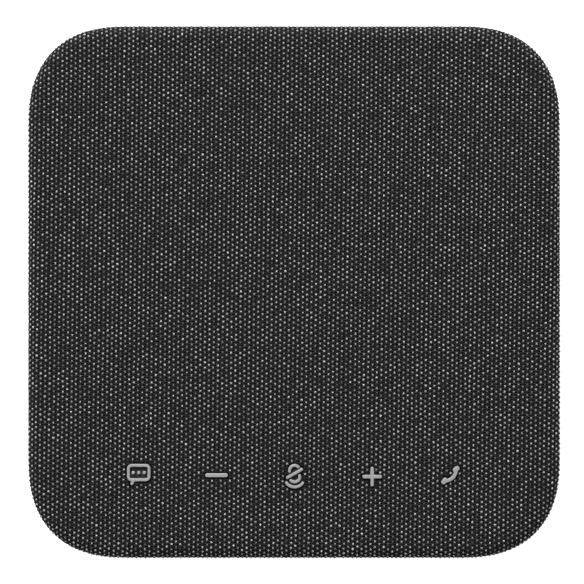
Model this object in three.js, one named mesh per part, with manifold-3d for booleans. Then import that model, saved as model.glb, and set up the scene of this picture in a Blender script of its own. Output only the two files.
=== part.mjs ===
// A conference speakerphone: a square puck under stretched fabric, with five keys along its front edge,
// one upward-firing loudspeaker, two microphones, and a groove under the body for winding its lead.
// Millimetres, +Z up, the keys towards -Y. The origin is the middle of the footprint, on the table.

import * as THREE from "three";
import { mergeVertices } from "three/addons/utils/BufferGeometryUtils.js";
import Module from "manifold-3d";

const wasm = await Module();
wasm.setup();

// ---------------------------------------------------------------- driving dimensions

// Overall form
const SIDE = 102; // width and depth of the body at its widest
const HEIGHT = 26.5; // table to the fabric's top face
const CORNER_REACH = 19.25; // how far each corner curve runs along a side
const CORNER_POWER = 2.47; // superellipse exponent of the corner curve
const EDGE_RADIUS = 2.5; // roll of the fabric over the top edge
const LEAN = 2; // how far each side wall comes in on its way down

// Walls and gaps
const FABRIC = 0.8; // woven skin
const WALL = 2; // moulded housings
const GAP = 0.2; // between pieces that lie against each other
const THREAD_GAP = 0.15; // round a screw's thread
const KEY_GAP = 0.25; // round a key where it slides

// Foot and lead store
const FOOT_PROUD = 0.6; // rubber foot below its plate
const FOOT_PLATE = 2.4; // thickness of the foot plate
const FOOT_INSET = 4; // foot plate's edge inside the body's side
const FOOT_RING_INSET = 4; // rubber ring inside the foot plate's edge
const FOOT_RING_WIDTH = 6;
const FOOT_RING_DEPTH = 0.8; // how deep the ring is let into the plate
const GROOVE_HEIGHT = 7; // room for the wound lead
const GROOVE_DEPTH = 8; // from the foot plate's edge to the spool
const LEAD = 3.5; // diameter of the lead that the gland holds
const GLAND_WALL = 0.75;
const GLAND_FLANGE = 0.6; // beyond the gland's neck
const GLAND_FLANGE_THICK = 1.2;
const HOOK_WIDTH = 6; // foot plate's snap hooks
const HOOK_THICK = 1.4;
const HOOK_BARB = 0.8;
const HOOK_INSET = 4; // inside the spool's wall
const HOOK_SPREAD = 14; // in front of and behind the middle

// Seam between the shells
const HEM_TUCK = 3; // width of the fabric folded in under the top shell
const RIM_WALL = 1.2; // locating rim on the lower case
const RIM_HEIGHT = 2.5;
const SEAM_CHAMFER = 0.8;

// Keys
const KEY_PITCH = 15;
const KEY_ROW_INSET = 15.7; // key centres behind the front edge
const KEY_BOSS = 7; // square boss of a key cap
const KEY_CORNER = 1.2;
const KEY_FLANGE = 1; // flange beyond the boss, trapped under the roof
const KEY_FLANGE_THICK = 1.2;
const KEY_TRAVEL = 0.5;
const SYMBOL_PROUD = 0.35; // symbol above the fabric
const SYMBOL_WEB = 0.4; // thickness of the web that joins a symbol's strokes
const SWITCH = 6.2; // side of a tact switch
const SWITCH_HEIGHT = 2.5;
const SWITCH_FLOOR = 0.4;
const PLUNGER = 3.4; // diameter
const PLUNGER_PROUD = 0.8;
const BOARD = 1.6; // circuit boards
const KEY_BOARD_DEPTH = 10;
const STAKE = 1.8; // diameter of the melted pins that hold the key board
const STAKE_HEAD = 0.7;

// Loudspeaker
const DRIVER = 50; // diameter of its frame
const DRIVER_SHIFT = 4; // its centre behind the middle of the body
const SPEAKER_FLANGE = 1.3;
const BASKET_DEPTH = 4.8; // below the flange
const BASKET_WALL = 1.2;
const TOP_PLATE = 1.8;
const YOKE_PLATE = 2;
const MAGNET = 34; // diameter
const COIL = 20.4; // mean diameter of the voice coil
const COIL_WALL = 0.6;
const IRON_GAP = 0.5; // between the coil and the iron on each side
const GASKET = 2.1; // foam between the loudspeaker and the roof
const GASKET_WIDTH = 2.2;
const SURROUND = 0.4; // thickness of the rubber half roll
const ROLL = 1.4; // its radius
const CONE_WALL = 0.5;
const EXCURSION = 1; // how far the cone moves each way
const NECK_RISE = 2.6; // cone's neck above the iron
const SPIDER_RISE = 1.7;
const DUST_CAP_RISE = 2.4;
const BASKET_HOLE = 2.3; // beyond the coil, under the spider
const VENT_WIDTH = 8;
const GRILLE_HOLE = 4;
const GRILLE_PITCH = 5.6;

// Electronics, microphones and fasteners
const BOARD_STANDOFF = 3.2; // main board above the floor
const BOARD_CLEARANCE = 0.6; // main board inside the spool's wall
const SOCKET = [10, 3.4, 1.2]; // flat cable's sockets: width, depth, height
const RIBBON = 0.3; // flat cable's thickness
const RIBBON_WIDTH = 8;
const HEADER = [5, 7, 3.5];
const SPEAKER_HEADER_INSET = 21.5; // inside the body's side
const USB_HEADER_INSET = 8.5; // in front of the spool's back wall
const CHIP = [9, 9, 1.2];
const CHIP_SHIFT = [-12, 11.3]; // from the middle of the key row
const MIC = 6; // microphone capsule's diameter
const MIC_HEIGHT = 2.7;
const MIC_PORT = 1.6;
const MIC_INSET = 10; // microphone ports inside the body's side
const MIC_BOOT_WALL = 1.5;
const MIC_BOOT_LIP = 1; // above and below the capsule
const MIC_CUP_WALL = 1; // ring under the roof that holds the boot
const MIC_CUP_DEPTH = 3;
const WIRE = 1.2; // insulated leads inside the case
const CASE_SCREW_INSET = [22, 25]; // from the body's sides, in X and in Y
const CASE_SCREW_LENGTH = 12;
const BOSS_WALL = 1.8; // round a screw
const THREAD = 2.2; // diameter
const HEAD = 4.4;
const HEAD_HEIGHT = 1.5;
const EAR_REACH = 3; // speaker screws beyond the frame's edge
const SCREW_SKIN = 1.2; // roof left over each speaker screw

// ---------------------------------------------------------------- levels and places

const half = SIDE / 2;
const plateTop = FOOT_PROUD + FOOT_PLATE;
const floorTop = plateTop + WALL; // floor inside the spool
const caseUnder = plateTop + GROOVE_HEIGHT;
const caseTop = caseUnder + WALL;
const hemTop = caseTop + FABRIC;
const shoulder = HEIGHT - EDGE_RADIUS;
const fabricUnder = HEIGHT - FABRIC;
const roofTop = fabricUnder - GAP;
const roofUnder = roofTop - WALL;

const shellInset = FABRIC + GAP; // outside of the top shell, inside the fabric's face
const spoolInset = FOOT_INSET + GROOVE_DEPTH;
const wellInset = spoolInset + WALL;
const spoolHalf = half - spoolInset;
const wellHalf = half - wellInset;

const keyY = -half + KEY_ROW_INSET;
const capTop = roofTop + GAP / 2;
const capFlangeTop = roofUnder - GAP;
const capUnder = capFlangeTop - KEY_FLANGE_THICK;
const switchTop = capUnder - PLUNGER_PROUD;
const keyBoardTop = switchTop - SWITCH_HEIGHT;
const keyBoardUnder = keyBoardTop - BOARD;
const keyBoardHalf = 2 * KEY_PITCH + SWITCH;
const stakeX = [-1.5, -0.5, 0.5, 1.5].map((k) => k * KEY_PITCH);

const mainBoardUnder = floorTop + BOARD_STANDOFF;
const mainBoardTop = mainBoardUnder + BOARD;
const mainBoardInset = wellInset + BOARD_CLEARANCE;

const flangeTop = roofUnder - GASKET - SURROUND;
const flangeUnder = flangeTop - SPEAKER_FLANGE;
const ironTop = flangeUnder - BASKET_DEPTH;
const magnetTop = ironTop - TOP_PLATE;
const yokeUnder = floorTop + GAP;
const magnetUnder = yokeUnder + YOKE_PLATE;
const frameRadius = DRIVER / 2;
const rollMiddle = frameRadius - GASKET_WIDTH - GAP - ROLL;
const coneRadius = rollMiddle - ROLL;
const coneTop = flangeTop - GAP / 2;
const neckRadius = (COIL + COIL_WALL) / 2 + 0.1;
const neckTop = ironTop + NECK_RISE;
const spiderTop = ironTop + SPIDER_RISE;
const speakerScrewTip = roofTop - SCREW_SKIN;
const magnetHole = COIL / 2 + 3; // clear of the coil, all the way through

const threadHole = THREAD / 2 + THREAD_GAP;
const boss = threadHole + BOSS_WALL;
const glandRadius = LEAD / 2 + GLAND_WALL;
const glandZ = plateTop + GROOVE_HEIGHT / 2;
const glandReach = glandRadius + GLAND_FLANGE;
const bootRadius = MIC / 2 + GAP + MIC_BOOT_WALL;
const cupRadius = bootRadius + GAP + MIC_CUP_WALL;
const cupUnder = roofUnder - MIC_CUP_DEPTH;
const capsuleTop = roofUnder - MIC_BOOT_LIP - GAP;
const capsuleUnder = capsuleTop - MIC_HEIGHT;
const bootUnder = capsuleUnder - MIC_BOOT_LIP;

const quarters = [
  [1, 1],
  [-1, 1],
  [-1, -1],
  [1, -1],
];
const caseScrewAt = quarters.map(([sx, sy]) => [
  sx * (half - CASE_SCREW_INSET[0]),
  sy * (half - CASE_SCREW_INSET[1]),
]);
const earAt = [90, 210, 330].map((angle) => polar(frameRadius + EAR_REACH, angle));
const hookAt = quarters.map(([sx, sy]) => [sx * (wellHalf - HOOK_INSET), sy * HOOK_SPREAD]);
const sides = { left: -1, right: 1 };
const micX = half - MIC_INSET;
const micAt = Object.values(sides).map((side) => [side * micX, DRIVER_SHIFT]);

// ---------------------------------------------------------------- finishes

const finish = (color, roughness, metalness = 0) =>
  new THREE.MeshStandardMaterial({ color, roughness, metalness });

const fabric = finish(0x343434, 0.95);
const lightPlastic = finish(0xbdbdbd, 0.55);
const plastic = finish(0x1b1b1c, 0.6);
const rubber = finish(0x151515, 0.85);
const foam = finish(0x222224, 1);
const steel = finish(0x9a9b9d, 0.35, 1);
const blackSteel = finish(0x2a2a2c, 0.45, 1);
const ferrite = finish(0x3a3a3d, 0.7);
const paper = finish(0x262626, 0.9);
const varnishedCloth = finish(0xb48a3c, 0.9);
const copper = finish(0xb8713a, 0.35, 1);
const circuitBoard = finish(0x14452f, 0.5);
const ivoryPlastic = finish(0xd9d3c0, 0.5);
const redWire = finish(0x9e1f1f, 0.5);
const blackWire = finish(0x101010, 0.5);
const chipPlastic = finish(0x17181a, 0.55);

// ---------------------------------------------------------------- solids

// A closed geometry as a manifold-3d solid.
function solidOf(geometry) {
  const bare = geometry.clone();
  bare.deleteAttribute("normal");
  bare.deleteAttribute("uv");
  const { attributes, index } = mergeVertices(bare);
  const corners = Array.from(index.array);
  const triangles = [];
  for (let i = 0; i < corners.length; i += 3) {
    const [a, b, c] = corners.slice(i, i + 3);
    if (a !== b && b !== c && c !== a) triangles.push(a, b, c);
  }
  return new wasm.Manifold(
    new wasm.Mesh({
      numProp: 3,
      vertProperties: new Float32Array(attributes.position.array),
      triVerts: new Uint32Array(triangles),
    }),
  );
}

// Positions and triangles as a flat-shaded geometry.
function facets(positions, triangles) {
  const indexed = new THREE.BufferGeometry()
    .setAttribute("position", new THREE.Float32BufferAttribute(positions, 3))
    .setIndex(new THREE.Uint32BufferAttribute(triangles, 1));
  const flat = indexed.toNonIndexed();
  flat.computeVertexNormals();
  return flat;
}

function geometryOf(solid) {
  const mesh = solid.getMesh();
  return facets(mesh.vertProperties, mesh.triVerts);
}

const join = (...parts) =>
  geometryOf(parts.map(solidOf).reduce((whole, one) => whole.add(one)));

const cut = (geometry, ...tools) =>
  geometryOf(tools.map(solidOf).reduce((left, tool) => left.subtract(tool), solidOf(geometry)));

// A point on a circle round the origin, with its angle in degrees.
function polar(radius, angle, x = 0, y = 0) {
  const a = THREE.MathUtils.degToRad(angle);
  return [x + radius * Math.cos(a), y + radius * Math.sin(a)];
}

const vectors = (points) => points.map(([x, y]) => new THREE.Vector2(x, y));

// Points along an arc, with its angles in degrees.
const arc = (x, y, radius, from, to, steps = 6) =>
  Array.from({ length: steps + 1 }, (_, i) => polar(radius, from + ((to - from) * i) / steps, x, y));

// The rounded-square plan of the body, `inset` inside its widest outline, counterclockwise.
function outline(inset, steps = 8) {
  const reach = CORNER_REACH - inset;
  const start = half - CORNER_REACH;
  const points = [];
  for (let quarter = 0; quarter < 4; quarter++) {
    for (let i = 0; i <= steps; i++) {
      const a = (i / steps) * (Math.PI / 2);
      const x = start + reach * Math.cos(a) ** (2 / CORNER_POWER);
      const y = start + reach * Math.sin(a) ** (2 / CORNER_POWER);
      points.push(new THREE.Vector2(x, y).rotateAround(new THREE.Vector2(), quarter * (Math.PI / 2)));
    }
  }
  return points;
}

// A closed solid through plan outlines stacked upwards, given as [inset, z] pairs.
function loft(sections) {
  const rings = sections.map(([inset, z]) => outline(inset).map((p) => [p.x, p.y, z]));
  const count = rings[0].length;
  const last = (rings.length - 1) * count;
  const bottomMiddle = rings.length * count;
  const topMiddle = bottomMiddle + 1;
  const positions = [...rings.flat(2), 0, 0, sections[0][1], 0, 0, sections.at(-1)[1]];
  const triangles = [];
  for (let i = 0; i < count; i++) {
    const j = (i + 1) % count;
    for (let base = 0; base < last; base += count) {
      triangles.push(base + i, base + j, base + count + j);
      triangles.push(base + i, base + count + j, base + count + i);
    }
    triangles.push(bottomMiddle, j, i);
    triangles.push(topMiddle, last + i, last + j);
  }
  return facets(positions, triangles);
}

// A plan outline or shape raised from z to top.
function slab(plan, z, top) {
  const shape = Array.isArray(plan) ? new THREE.Shape(plan) : plan;
  const options = { depth: top - z, bevelEnabled: false, curveSegments: 3 };
  return new THREE.ExtrudeGeometry(shape, options).translate(0, 0, z);
}

// An upright round bar.
const bar = (radius, z, top, [x, y] = [0, 0], facetCount = 16) =>
  new THREE.CylinderGeometry(radius, radius, top - z, facetCount)
    .rotateX(Math.PI / 2)
    .translate(x, y, (z + top) / 2);

// An upright box.
const block = ([width, depth], z, top, [x, y] = [0, 0]) =>
  new THREE.BoxGeometry(width, depth, top - z).translate(x, y, (z + top) / 2);

// A solid of revolution about Y, from [radius, y] points; a profile off the axis closes on itself.
function lathed(profile, facetCount = 24) {
  const points = vectors(profile);
  const area = points.reduce((sum, p, i) => sum + p.cross(points[(i + 1) % points.length]), 0);
  if (area < 0) points.reverse();
  if (points[0].x > 0 || points.at(-1).x > 0) points.push(points[0].clone());
  return new THREE.LatheGeometry(points, facetCount);
}

// A solid of revolution about Z, from [radius, z] points.
const turned = (profile, [x, y] = [0, 0], facetCount = 24) =>
  lathed(profile, facetCount).rotateX(Math.PI / 2).translate(x, y, 0);

const ring = (inner, outer, z, top, at, facetCount) =>
  turned([[inner, z], [outer, z], [outer, top], [inner, top]], at, facetCount);

function roundedSquare(width, depth, radius, y = 0) {
  const [w, d] = [width / 2 - radius, depth / 2 - radius];
  const shape = new THREE.Shape();
  shape.absarc(w, y + d, radius, 0, Math.PI / 2);
  shape.absarc(-w, y + d, radius, Math.PI / 2, Math.PI);
  shape.absarc(-w, y - d, radius, Math.PI, 1.5 * Math.PI);
  shape.absarc(w, y - d, radius, 1.5 * Math.PI, 2 * Math.PI);
  return shape;
}

// The outline of a line along those points, with round ends.
function stroke(path, halfWidth, capSteps = 4) {
  const points = vectors(path);
  const last = points.length - 1;
  const middle = new THREE.Vector2();
  const side = (i) => {
    const ahead = points[Math.min(i + 1, last)];
    const behind = points[Math.max(i - 1, 0)];
    return ahead.clone().sub(behind).setLength(halfWidth).rotateAround(middle, Math.PI / 2);
  };
  const turnedSide = (i, angle) => points[i].clone().add(side(i).rotateAround(middle, angle));
  const cap = (i, from) =>
    Array.from({ length: capSteps - 1 }, (_, k) => turnedSide(i, from - (Math.PI * (k + 1)) / capSteps));
  const left = points.map((_, i) => turnedSide(i, 0));
  const right = points.map((_, i) => turnedSide(i, Math.PI)).reverse();
  return new THREE.Shape([...left, ...cap(last, 0), ...right, ...cap(0, Math.PI)].reverse());
}

// A round wire along a smooth curve through those points.
function wire(points, diameter = WIRE) {
  const curve = new THREE.CatmullRomCurve3(points.map((p) => new THREE.Vector3(...p)));
  const section = new THREE.Shape(vectors(arc(0, 0, diameter / 2, 0, 300, 5)));
  return new THREE.ExtrudeGeometry(section, { extrudePath: curve, steps: 8, bevelEnabled: false });
}

// A pan-head screw pointing up, with its head under z.
function screw(z, length) {
  const [head, thread] = [HEAD / 2, THREAD / 2];
  const under = z - HEAD_HEIGHT;
  const tip = z + length;
  const profile = [[0, under + 0.7], [0.9, under], [head * 0.75, under], [head, under + 0.6],
    [head, z], [thread, z], [thread, tip - 0.8], [0, tip]];
  return turned(profile, [0, 0], 10);
}

// ---------------------------------------------------------------- scene graph

const speakerphone = new THREE.Group();

function subgroup(x, y) {
  const child = new THREE.Group();
  child.position.set(x, y, 0);
  speakerphone.add(child);
  return child;
}

function add(name, geometry, material, parent = speakerphone) {
  const mesh = new THREE.Mesh(geometry, material);
  mesh.name = name;
  parent.add(mesh);
  return mesh;
}

// ---------------------------------------------------------------- key symbols

// Each symbol's raised strokes and the thin web behind them, in plan, grown all round by `grow`.
const symbols = {
  join: (grow) => ({
    strokes: [
      stroke([[-1, -1.1], [-1.3, -1.7]], 0.3 + grow),
      ...[-1.05, 0, 1.05].map((x) => stroke([[x - 0.02, 0.4], [x + 0.02, 0.4]], 0.31 + grow)),
    ],
    web: [bubble(grow)],
    rim: 0.55,
  }),
  volume_down: (grow) => ({
    strokes: [stroke([[-1.77, 0], [1.77, 0]], 0.43 + grow)],
    web: [],
  }),
  mute: (grow) => ({
    strokes: [
      stroke([[-1.37, -0.25], [1.36, 1.32]], 0.31 + grow),
      stroke(arc(0, 1.1, 0.98, 190, 45), 0.31 + grow),
      stroke(arc(0, -0.1, 0.98, 13, -135), 0.31 + grow),
      stroke(arc(0, -0.1, 1.97, -36, -144), 0.31 + grow),
    ],
    web: [
      stroke([[0, 1.1], [0, -0.1]], 1.29 + grow, 8),
      stroke(arc(0, -0.1, 1.45, -36, -144), 0.55 + grow),
    ],
  }),
  volume_up: (grow) => ({
    strokes: [stroke([[-1.52, 0], [1.52, 0]], 0.37 + grow), stroke([[0, -1.52], [0, 1.52]], 0.37 + grow)],
    web: [],
  }),
  call: (grow) => ({
    strokes: [
      stroke(arc(-1.13, 1.13, 2.3, -90, 0), 0.33 + grow),
      ...[-1, 1].map((s) => stroke([[1.36 * s, 1.36 * s], [0.95 * s, 0.95 * s]], 0.42 + grow)),
    ],
    web: [],
  }),
};

function bubble(grow) {
  return roundedSquare(4.5 + 2 * grow, 3.3 + 2 * grow, 0.9 + grow, 0.4);
}

const keys = Object.keys(symbols).map((name, i) => ({ name, x: (i - 2) * KEY_PITCH }));

// The raised strokes on their web, standing on the key cap.
function symbol(name) {
  const { strokes, web, rim } = symbols[name](0);
  const top = HEIGHT + SYMBOL_PROUD;
  const raised = strokes.map((shape) => slab(shape, capTop, top));
  const webs = web.map((shape) => slab(shape, capTop, capTop + SYMBOL_WEB));
  if (rim) raised.push(cut(slab(bubble(0), capTop, top), slab(bubble(-rim), capTop - 1, top + 1)));
  return join(...webs, ...raised);
}

// The hole that lets a symbol through the fabric.
function symbolWindow({ name, x }) {
  const { strokes, web } = symbols[name](KEY_GAP);
  const through = [...strokes, ...web].map((shape) => slab(shape, fabricUnder - 1, HEIGHT + 1));
  return join(...through).translate(x, keyY, 0);
}

// ---------------------------------------------------------------- housing

// How far the side wall has come in at a height.
const lean = (z) => (LEAN * Math.max(0, shoulder - z)) / (shoulder - caseTop);

// Sections of a surface `inward` inside the fabric's face, with its top edge rolled over.
function bodySections(inward, bottom, top) {
  const radius = Math.max(EDGE_RADIUS - inward, 0);
  const roll = [0, 1, 2, 3, 4].map((k) => (k / 4) * (Math.PI / 2));
  return [
    [inward + lean(bottom), bottom],
    ...roll.map((a) => [inward + radius * (1 - Math.cos(a)), top - radius * (1 - Math.sin(a))]),
  ];
}

function fabricCover() {
  const outside = loft(bodySections(0, caseTop, HEIGHT));
  const inside = loft(bodySections(FABRIC, hemTop, fabricUnder));
  const mouth = slab(outline(LEAN + HEM_TUCK), caseTop - 1, hemTop + 1);
  return cut(outside, inside, mouth, ...keys.map(symbolWindow));
}

// Six-sided holes in a honeycomb over the loudspeaker's cone.
function grilleHoles() {
  const holes = [];
  const rows = Math.ceil(coneRadius / GRILLE_PITCH) + 1;
  for (let row = -rows; row <= rows; row++) {
    for (let column = -rows; column <= rows; column++) {
      const x = (column + (row % 2) / 2) * GRILLE_PITCH;
      const y = row * GRILLE_PITCH * Math.sin(Math.PI / 3);
      if (Math.hypot(x, y) > coneRadius) continue;
      holes.push(bar(GRILLE_HOLE / 2, roofUnder - 1, roofTop + 1, [x, y + DRIVER_SHIFT], 6));
    }
  }
  return holes;
}

const inDriver = ([x, y]) => [x, y + DRIVER_SHIFT];

function topShell() {
  const bottom = hemTop + GAP;
  const inner = shellInset + WALL;
  const overlap = WALL / 2; // how far bosses run up into the roof
  const hull = loft(bodySections(shellInset, bottom, roofTop));
  const cavity = loft([[inner + lean(bottom), bottom - 1], [inner, shoulder - WALL], [inner, roofUnder]]);
  const bosses = [
    ...caseScrewAt.map((at) => bar(boss, mainBoardTop + GAP, roofUnder + overlap, at, 12)),
    ...earAt.map((at) => bar(boss, flangeTop, roofUnder + overlap, inDriver(at), 12)),
    ...micAt.map((at) => ring(bootRadius + GAP, cupRadius, cupUnder, roofUnder + overlap, at, 16)),
    ...stakeX.flatMap((x) => [
      bar(STAKE, keyBoardTop, roofUnder + overlap, [x, keyY], 8),
      bar(STAKE / 2, keyBoardUnder - STAKE_HEAD, roofUnder, [x, keyY], 8),
      bar(STAKE * 0.85, keyBoardUnder - GAP - STAKE_HEAD, keyBoardUnder - GAP, [x, keyY], 8),
    ]),
  ];
  const holes = [
    ...caseScrewAt.map((at) => bar(threadHole, mainBoardTop, floorTop + CASE_SCREW_LENGTH + 1, at, 10)),
    ...earAt.map((at) => bar(threadHole, flangeTop - 1, speakerScrewTip + GAP, inDriver(at), 10)),
    ...micAt.map((at) => bar(MIC_PORT / 2, roofUnder - 1, roofTop + 1, at, 8)),
    ...keys.map(({ x }) => {
      const side = KEY_BOSS + 2 * KEY_GAP;
      const corner = KEY_CORNER + KEY_GAP;
      return slab(roundedSquare(side, side, corner), roofUnder - 1, roofTop + 1).translate(x, keyY, 0);
    }),
    ...grilleHoles(),
  ];
  return cut(join(cut(hull, cavity), ...bosses), ...holes);
}


function bottomShell() {
  const flange = loft([[LEAN + SEAM_CHAMFER, caseUnder], [LEAN, caseUnder + SEAM_CHAMFER], [LEAN, caseTop]]);
  const spool = slab(outline(spoolInset), plateTop, caseUnder + WALL / 2);
  const well = slab(outline(wellInset), floorTop, caseTop + 1);
  const rimInset = LEAN + HEM_TUCK + GAP;
  const rim = cut(
    slab(outline(rimInset), caseTop - WALL / 2, caseTop + RIM_HEIGHT),
    slab(outline(rimInset + RIM_WALL), caseTop - WALL, caseTop + RIM_HEIGHT + 1),
  );
  const bosses = caseScrewAt.map((at) => bar(boss, floorTop - WALL / 2, mainBoardUnder, at, 12));
  const hookSlot = [HOOK_THICK + 2 * GAP, HOOK_WIDTH + 2 * GAP];
  const holes = [
    ...caseScrewAt.map((at) => bar(threadHole, plateTop - 1, mainBoardUnder + 1, at, 10)),
    ...caseScrewAt.map((at) => bar(HEAD / 2 + GAP, plateTop - 1, floorTop, at, 12)),
    ...hookAt.map((at) => block(hookSlot, plateTop - 1, floorTop + 1, at)),
    ...micAt.map((at) => bar(cupRadius + GAP, bootUnder - GAP, roofUnder, at)),
    glandBar(glandRadius + GAP, 2 * WALL),
    glandBar(glandReach + GAP, GLAND_FLANGE_THICK + 3 * GAP, wellHalf),
  ];
  return cut(join(cut(join(flange, spool), well), rim, ...bosses), ...holes);
}

// A bar along Y on the gland's axis: across the spool's wall, or back from `face` into the well.
function glandBar(radius, length, face) {
  const y = face === undefined ? spoolHalf - WALL / 2 : face - length / 2;
  return new THREE.CylinderGeometry(radius, radius, length, 16).translate(0, y, glandZ);
}

function cableGland() {
  const [inner, outer] = [wellHalf - GAP, spoolHalf + GAP];
  const profile = [
    [LEAD / 2, inner - GLAND_FLANGE_THICK],
    [glandReach, inner - GLAND_FLANGE_THICK],
    [glandReach, inner],
    [glandRadius, inner],
    [glandRadius, outer],
    [glandReach, outer],
    [glandReach, outer + GLAND_FLANGE_THICK / 2],
    [glandRadius, outer + GLAND_FLANGE_THICK],
    [LEAD / 2, outer + GLAND_FLANGE_THICK],
  ];
  return lathed(profile, 16).translate(0, 0, glandZ);
}

const footRing = FOOT_INSET + FOOT_RING_INSET;

function footPlate() {
  const bevel = FOOT_PLATE / 4;
  const plate = loft([
    [FOOT_INSET + bevel, FOOT_PROUD],
    [FOOT_INSET, FOOT_PROUD + bevel],
    [FOOT_INSET, plateTop],
  ]);
  const hooks = hookAt.flatMap(([x, y]) => {
    const outwards = (Math.sign(x) * HOOK_BARB) / 2;
    const tip = floorTop + GAP + HOOK_BARB;
    return [
      block([HOOK_THICK, HOOK_WIDTH], plateTop - FOOT_PLATE / 4, tip, [x, y]),
      block([HOOK_THICK + HOOK_BARB, HOOK_WIDTH], floorTop + GAP, tip, [x + outwards, y]),
    ];
  });
  const channel = cut(
    slab(outline(footRing - GAP), FOOT_PROUD - 1, FOOT_PROUD + FOOT_RING_DEPTH),
    slab(outline(footRing + FOOT_RING_WIDTH + GAP), FOOT_PROUD - 2, FOOT_PROUD + FOOT_RING_DEPTH + 1),
  );
  return cut(join(plate, ...hooks), channel);
}

function rubberFoot() {
  const top = FOOT_PROUD + FOOT_RING_DEPTH;
  return cut(slab(outline(footRing), 0, top), slab(outline(footRing + FOOT_RING_WIDTH), -1, top + 1));
}

add("fabric_cover", fabricCover(), fabric);
add("top_shell", topShell(), plastic);
add("bottom_shell", bottomShell(), plastic);
add("foot_plate", footPlate(), plastic);
add("rubber_foot", rubberFoot(), rubber);
add("cable_gland", cableGland(), rubber);

caseScrewAt.forEach(([x, y], i) => {
  add(`case_screw_${i + 1}`, screw(floorTop, CASE_SCREW_LENGTH), steel, subgroup(x, y));
});

// ---------------------------------------------------------------- keys

function keyCap() {
  const flange = KEY_BOSS + 2 * KEY_FLANGE;
  return join(
    slab(roundedSquare(KEY_BOSS, KEY_BOSS, KEY_CORNER), capUnder, capTop),
    slab(roundedSquare(flange, flange, KEY_CORNER + KEY_FLANGE), capUnder, capFlangeTop),
  );
}

function switchHousing() {
  const bore = bar(PLUNGER / 2 + GAP, keyBoardTop + SWITCH_FLOOR, switchTop + 1);
  return cut(block([SWITCH, SWITCH], keyBoardTop, switchTop), bore);
}

const plungerUnder = keyBoardTop + SWITCH_FLOOR + KEY_TRAVEL + GAP;

for (const { name, x } of keys) {
  const key = subgroup(x, keyY);
  add(`key_${name}`, keyCap(), plastic, key);
  add(`symbol_${name}`, symbol(name), lightPlastic, key);
  add(`plunger_${name}`, bar(PLUNGER / 2, plungerUnder, capUnder), ivoryPlastic, key);
  add(`switch_${name}`, switchHousing(), blackSteel, key);
}

// ---------------------------------------------------------------- loudspeaker

function speakerFrame() {
  const bowl = frameRadius - GASKET_WIDTH - GAP; // open mouth of the basket
  const foot = MAGNET / 2 + BASKET_WALL;
  const ledge = ironTop + BASKET_WALL;
  const hole = COIL / 2 + BASKET_HOLE;
  const body = turned([
    [hole, ironTop],
    [foot, ironTop],
    [bowl + BASKET_WALL, flangeUnder],
    [frameRadius, flangeUnder],
    [frameRadius, flangeTop],
    [bowl, flangeTop],
    [bowl, flangeUnder],
    [foot - BASKET_WALL, ledge],
    [hole, ledge],
  ]);
  const ears = earAt.map((at) => bar(boss + 0.6, flangeUnder, flangeTop, at));
  const vents = [30, 150, 270].map((angle) => {
    const [sill, lintel] = [ledge + BASKET_WALL / 2, flangeUnder - BASKET_WALL / 2];
    const window = block([VENT_WIDTH, DRIVER], sill, lintel, [0, DRIVER / 2]);
    return window.rotateZ(THREE.MathUtils.degToRad(angle - 90));
  });
  const earHoles = earAt.map((at) => bar(threadHole, flangeUnder - 1, flangeTop + 1, at, 12));
  return cut(join(body, ...ears), ...vents, ...earHoles);
}

// A ring of rubber or cloth whose section follows a wavy line, as [radius, z] points.
function membrane(line, thickness) {
  const under = line.map(([r, z]) => [r, z - thickness]);
  return turned([...line, ...under.reverse()]);
}

function surround() {
  const base = flangeTop + SURROUND;
  const roll = arc(rollMiddle, base, ROLL, 180, 0);
  return membrane([[coneRadius - 1, base], ...roll, [frameRadius - GAP, base]], SURROUND);
}

function spider() {
  const folds = 6;
  const depth = 0.3;
  const [inner, outer] = [neckRadius + GAP, MAGNET / 2 - GAP];
  const line = Array.from({ length: folds + 1 }, (_, i) =>
    [inner + ((outer - inner) * i) / folds, spiderTop + (i % 2) * depth]);
  return membrane(line, SURROUND / 2);
}

function cone() {
  const slope = (coneTop - neckTop) / (coneRadius - neckRadius);
  const mid = (neckRadius + coneRadius) / 2;
  const sag = 0.35; // the cone's wall curves slightly outwards
  return turned([
    [neckRadius, neckTop],
    [mid, neckTop + slope * (mid - neckRadius) - sag],
    [coneRadius, coneTop - CONE_WALL],
    [coneRadius, coneTop],
    [mid, neckTop + slope * (mid - neckRadius) - sag + CONE_WALL],
    [neckRadius, neckTop + CONE_WALL],
  ]);
}

function dustCap() {
  const radius = neckRadius - GAP;
  const base = neckTop + CONE_WALL;
  const dome = (r, lift) => [r, base + lift + DUST_CAP_RISE * (1 - (r / radius) ** 2)];
  const radii = [0, 0.4, 0.75, 1].map((share) => share * radius);
  return turned([...radii.map((r) => dome(r, CONE_WALL)), ...radii.reverse().map((r) => dome(r, 0))]);
}

function voiceCoil() {
  const bottom = magnetUnder + EXCURSION + IRON_GAP;
  return ring((COIL - COIL_WALL) / 2, (COIL + COIL_WALL) / 2, bottom, neckTop + CONE_WALL);
}

function yoke() {
  const pole = (COIL - COIL_WALL) / 2 - IRON_GAP;
  return turned([[0, yokeUnder], [MAGNET / 2 - 1, yokeUnder], [MAGNET / 2 - 1, magnetUnder],
    [pole, magnetUnder], [pole, ironTop], [0, ironTop]]);
}

const speaker = subgroup(0, DRIVER_SHIFT);
const platesHole = (COIL + COIL_WALL) / 2 + IRON_GAP;

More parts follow.
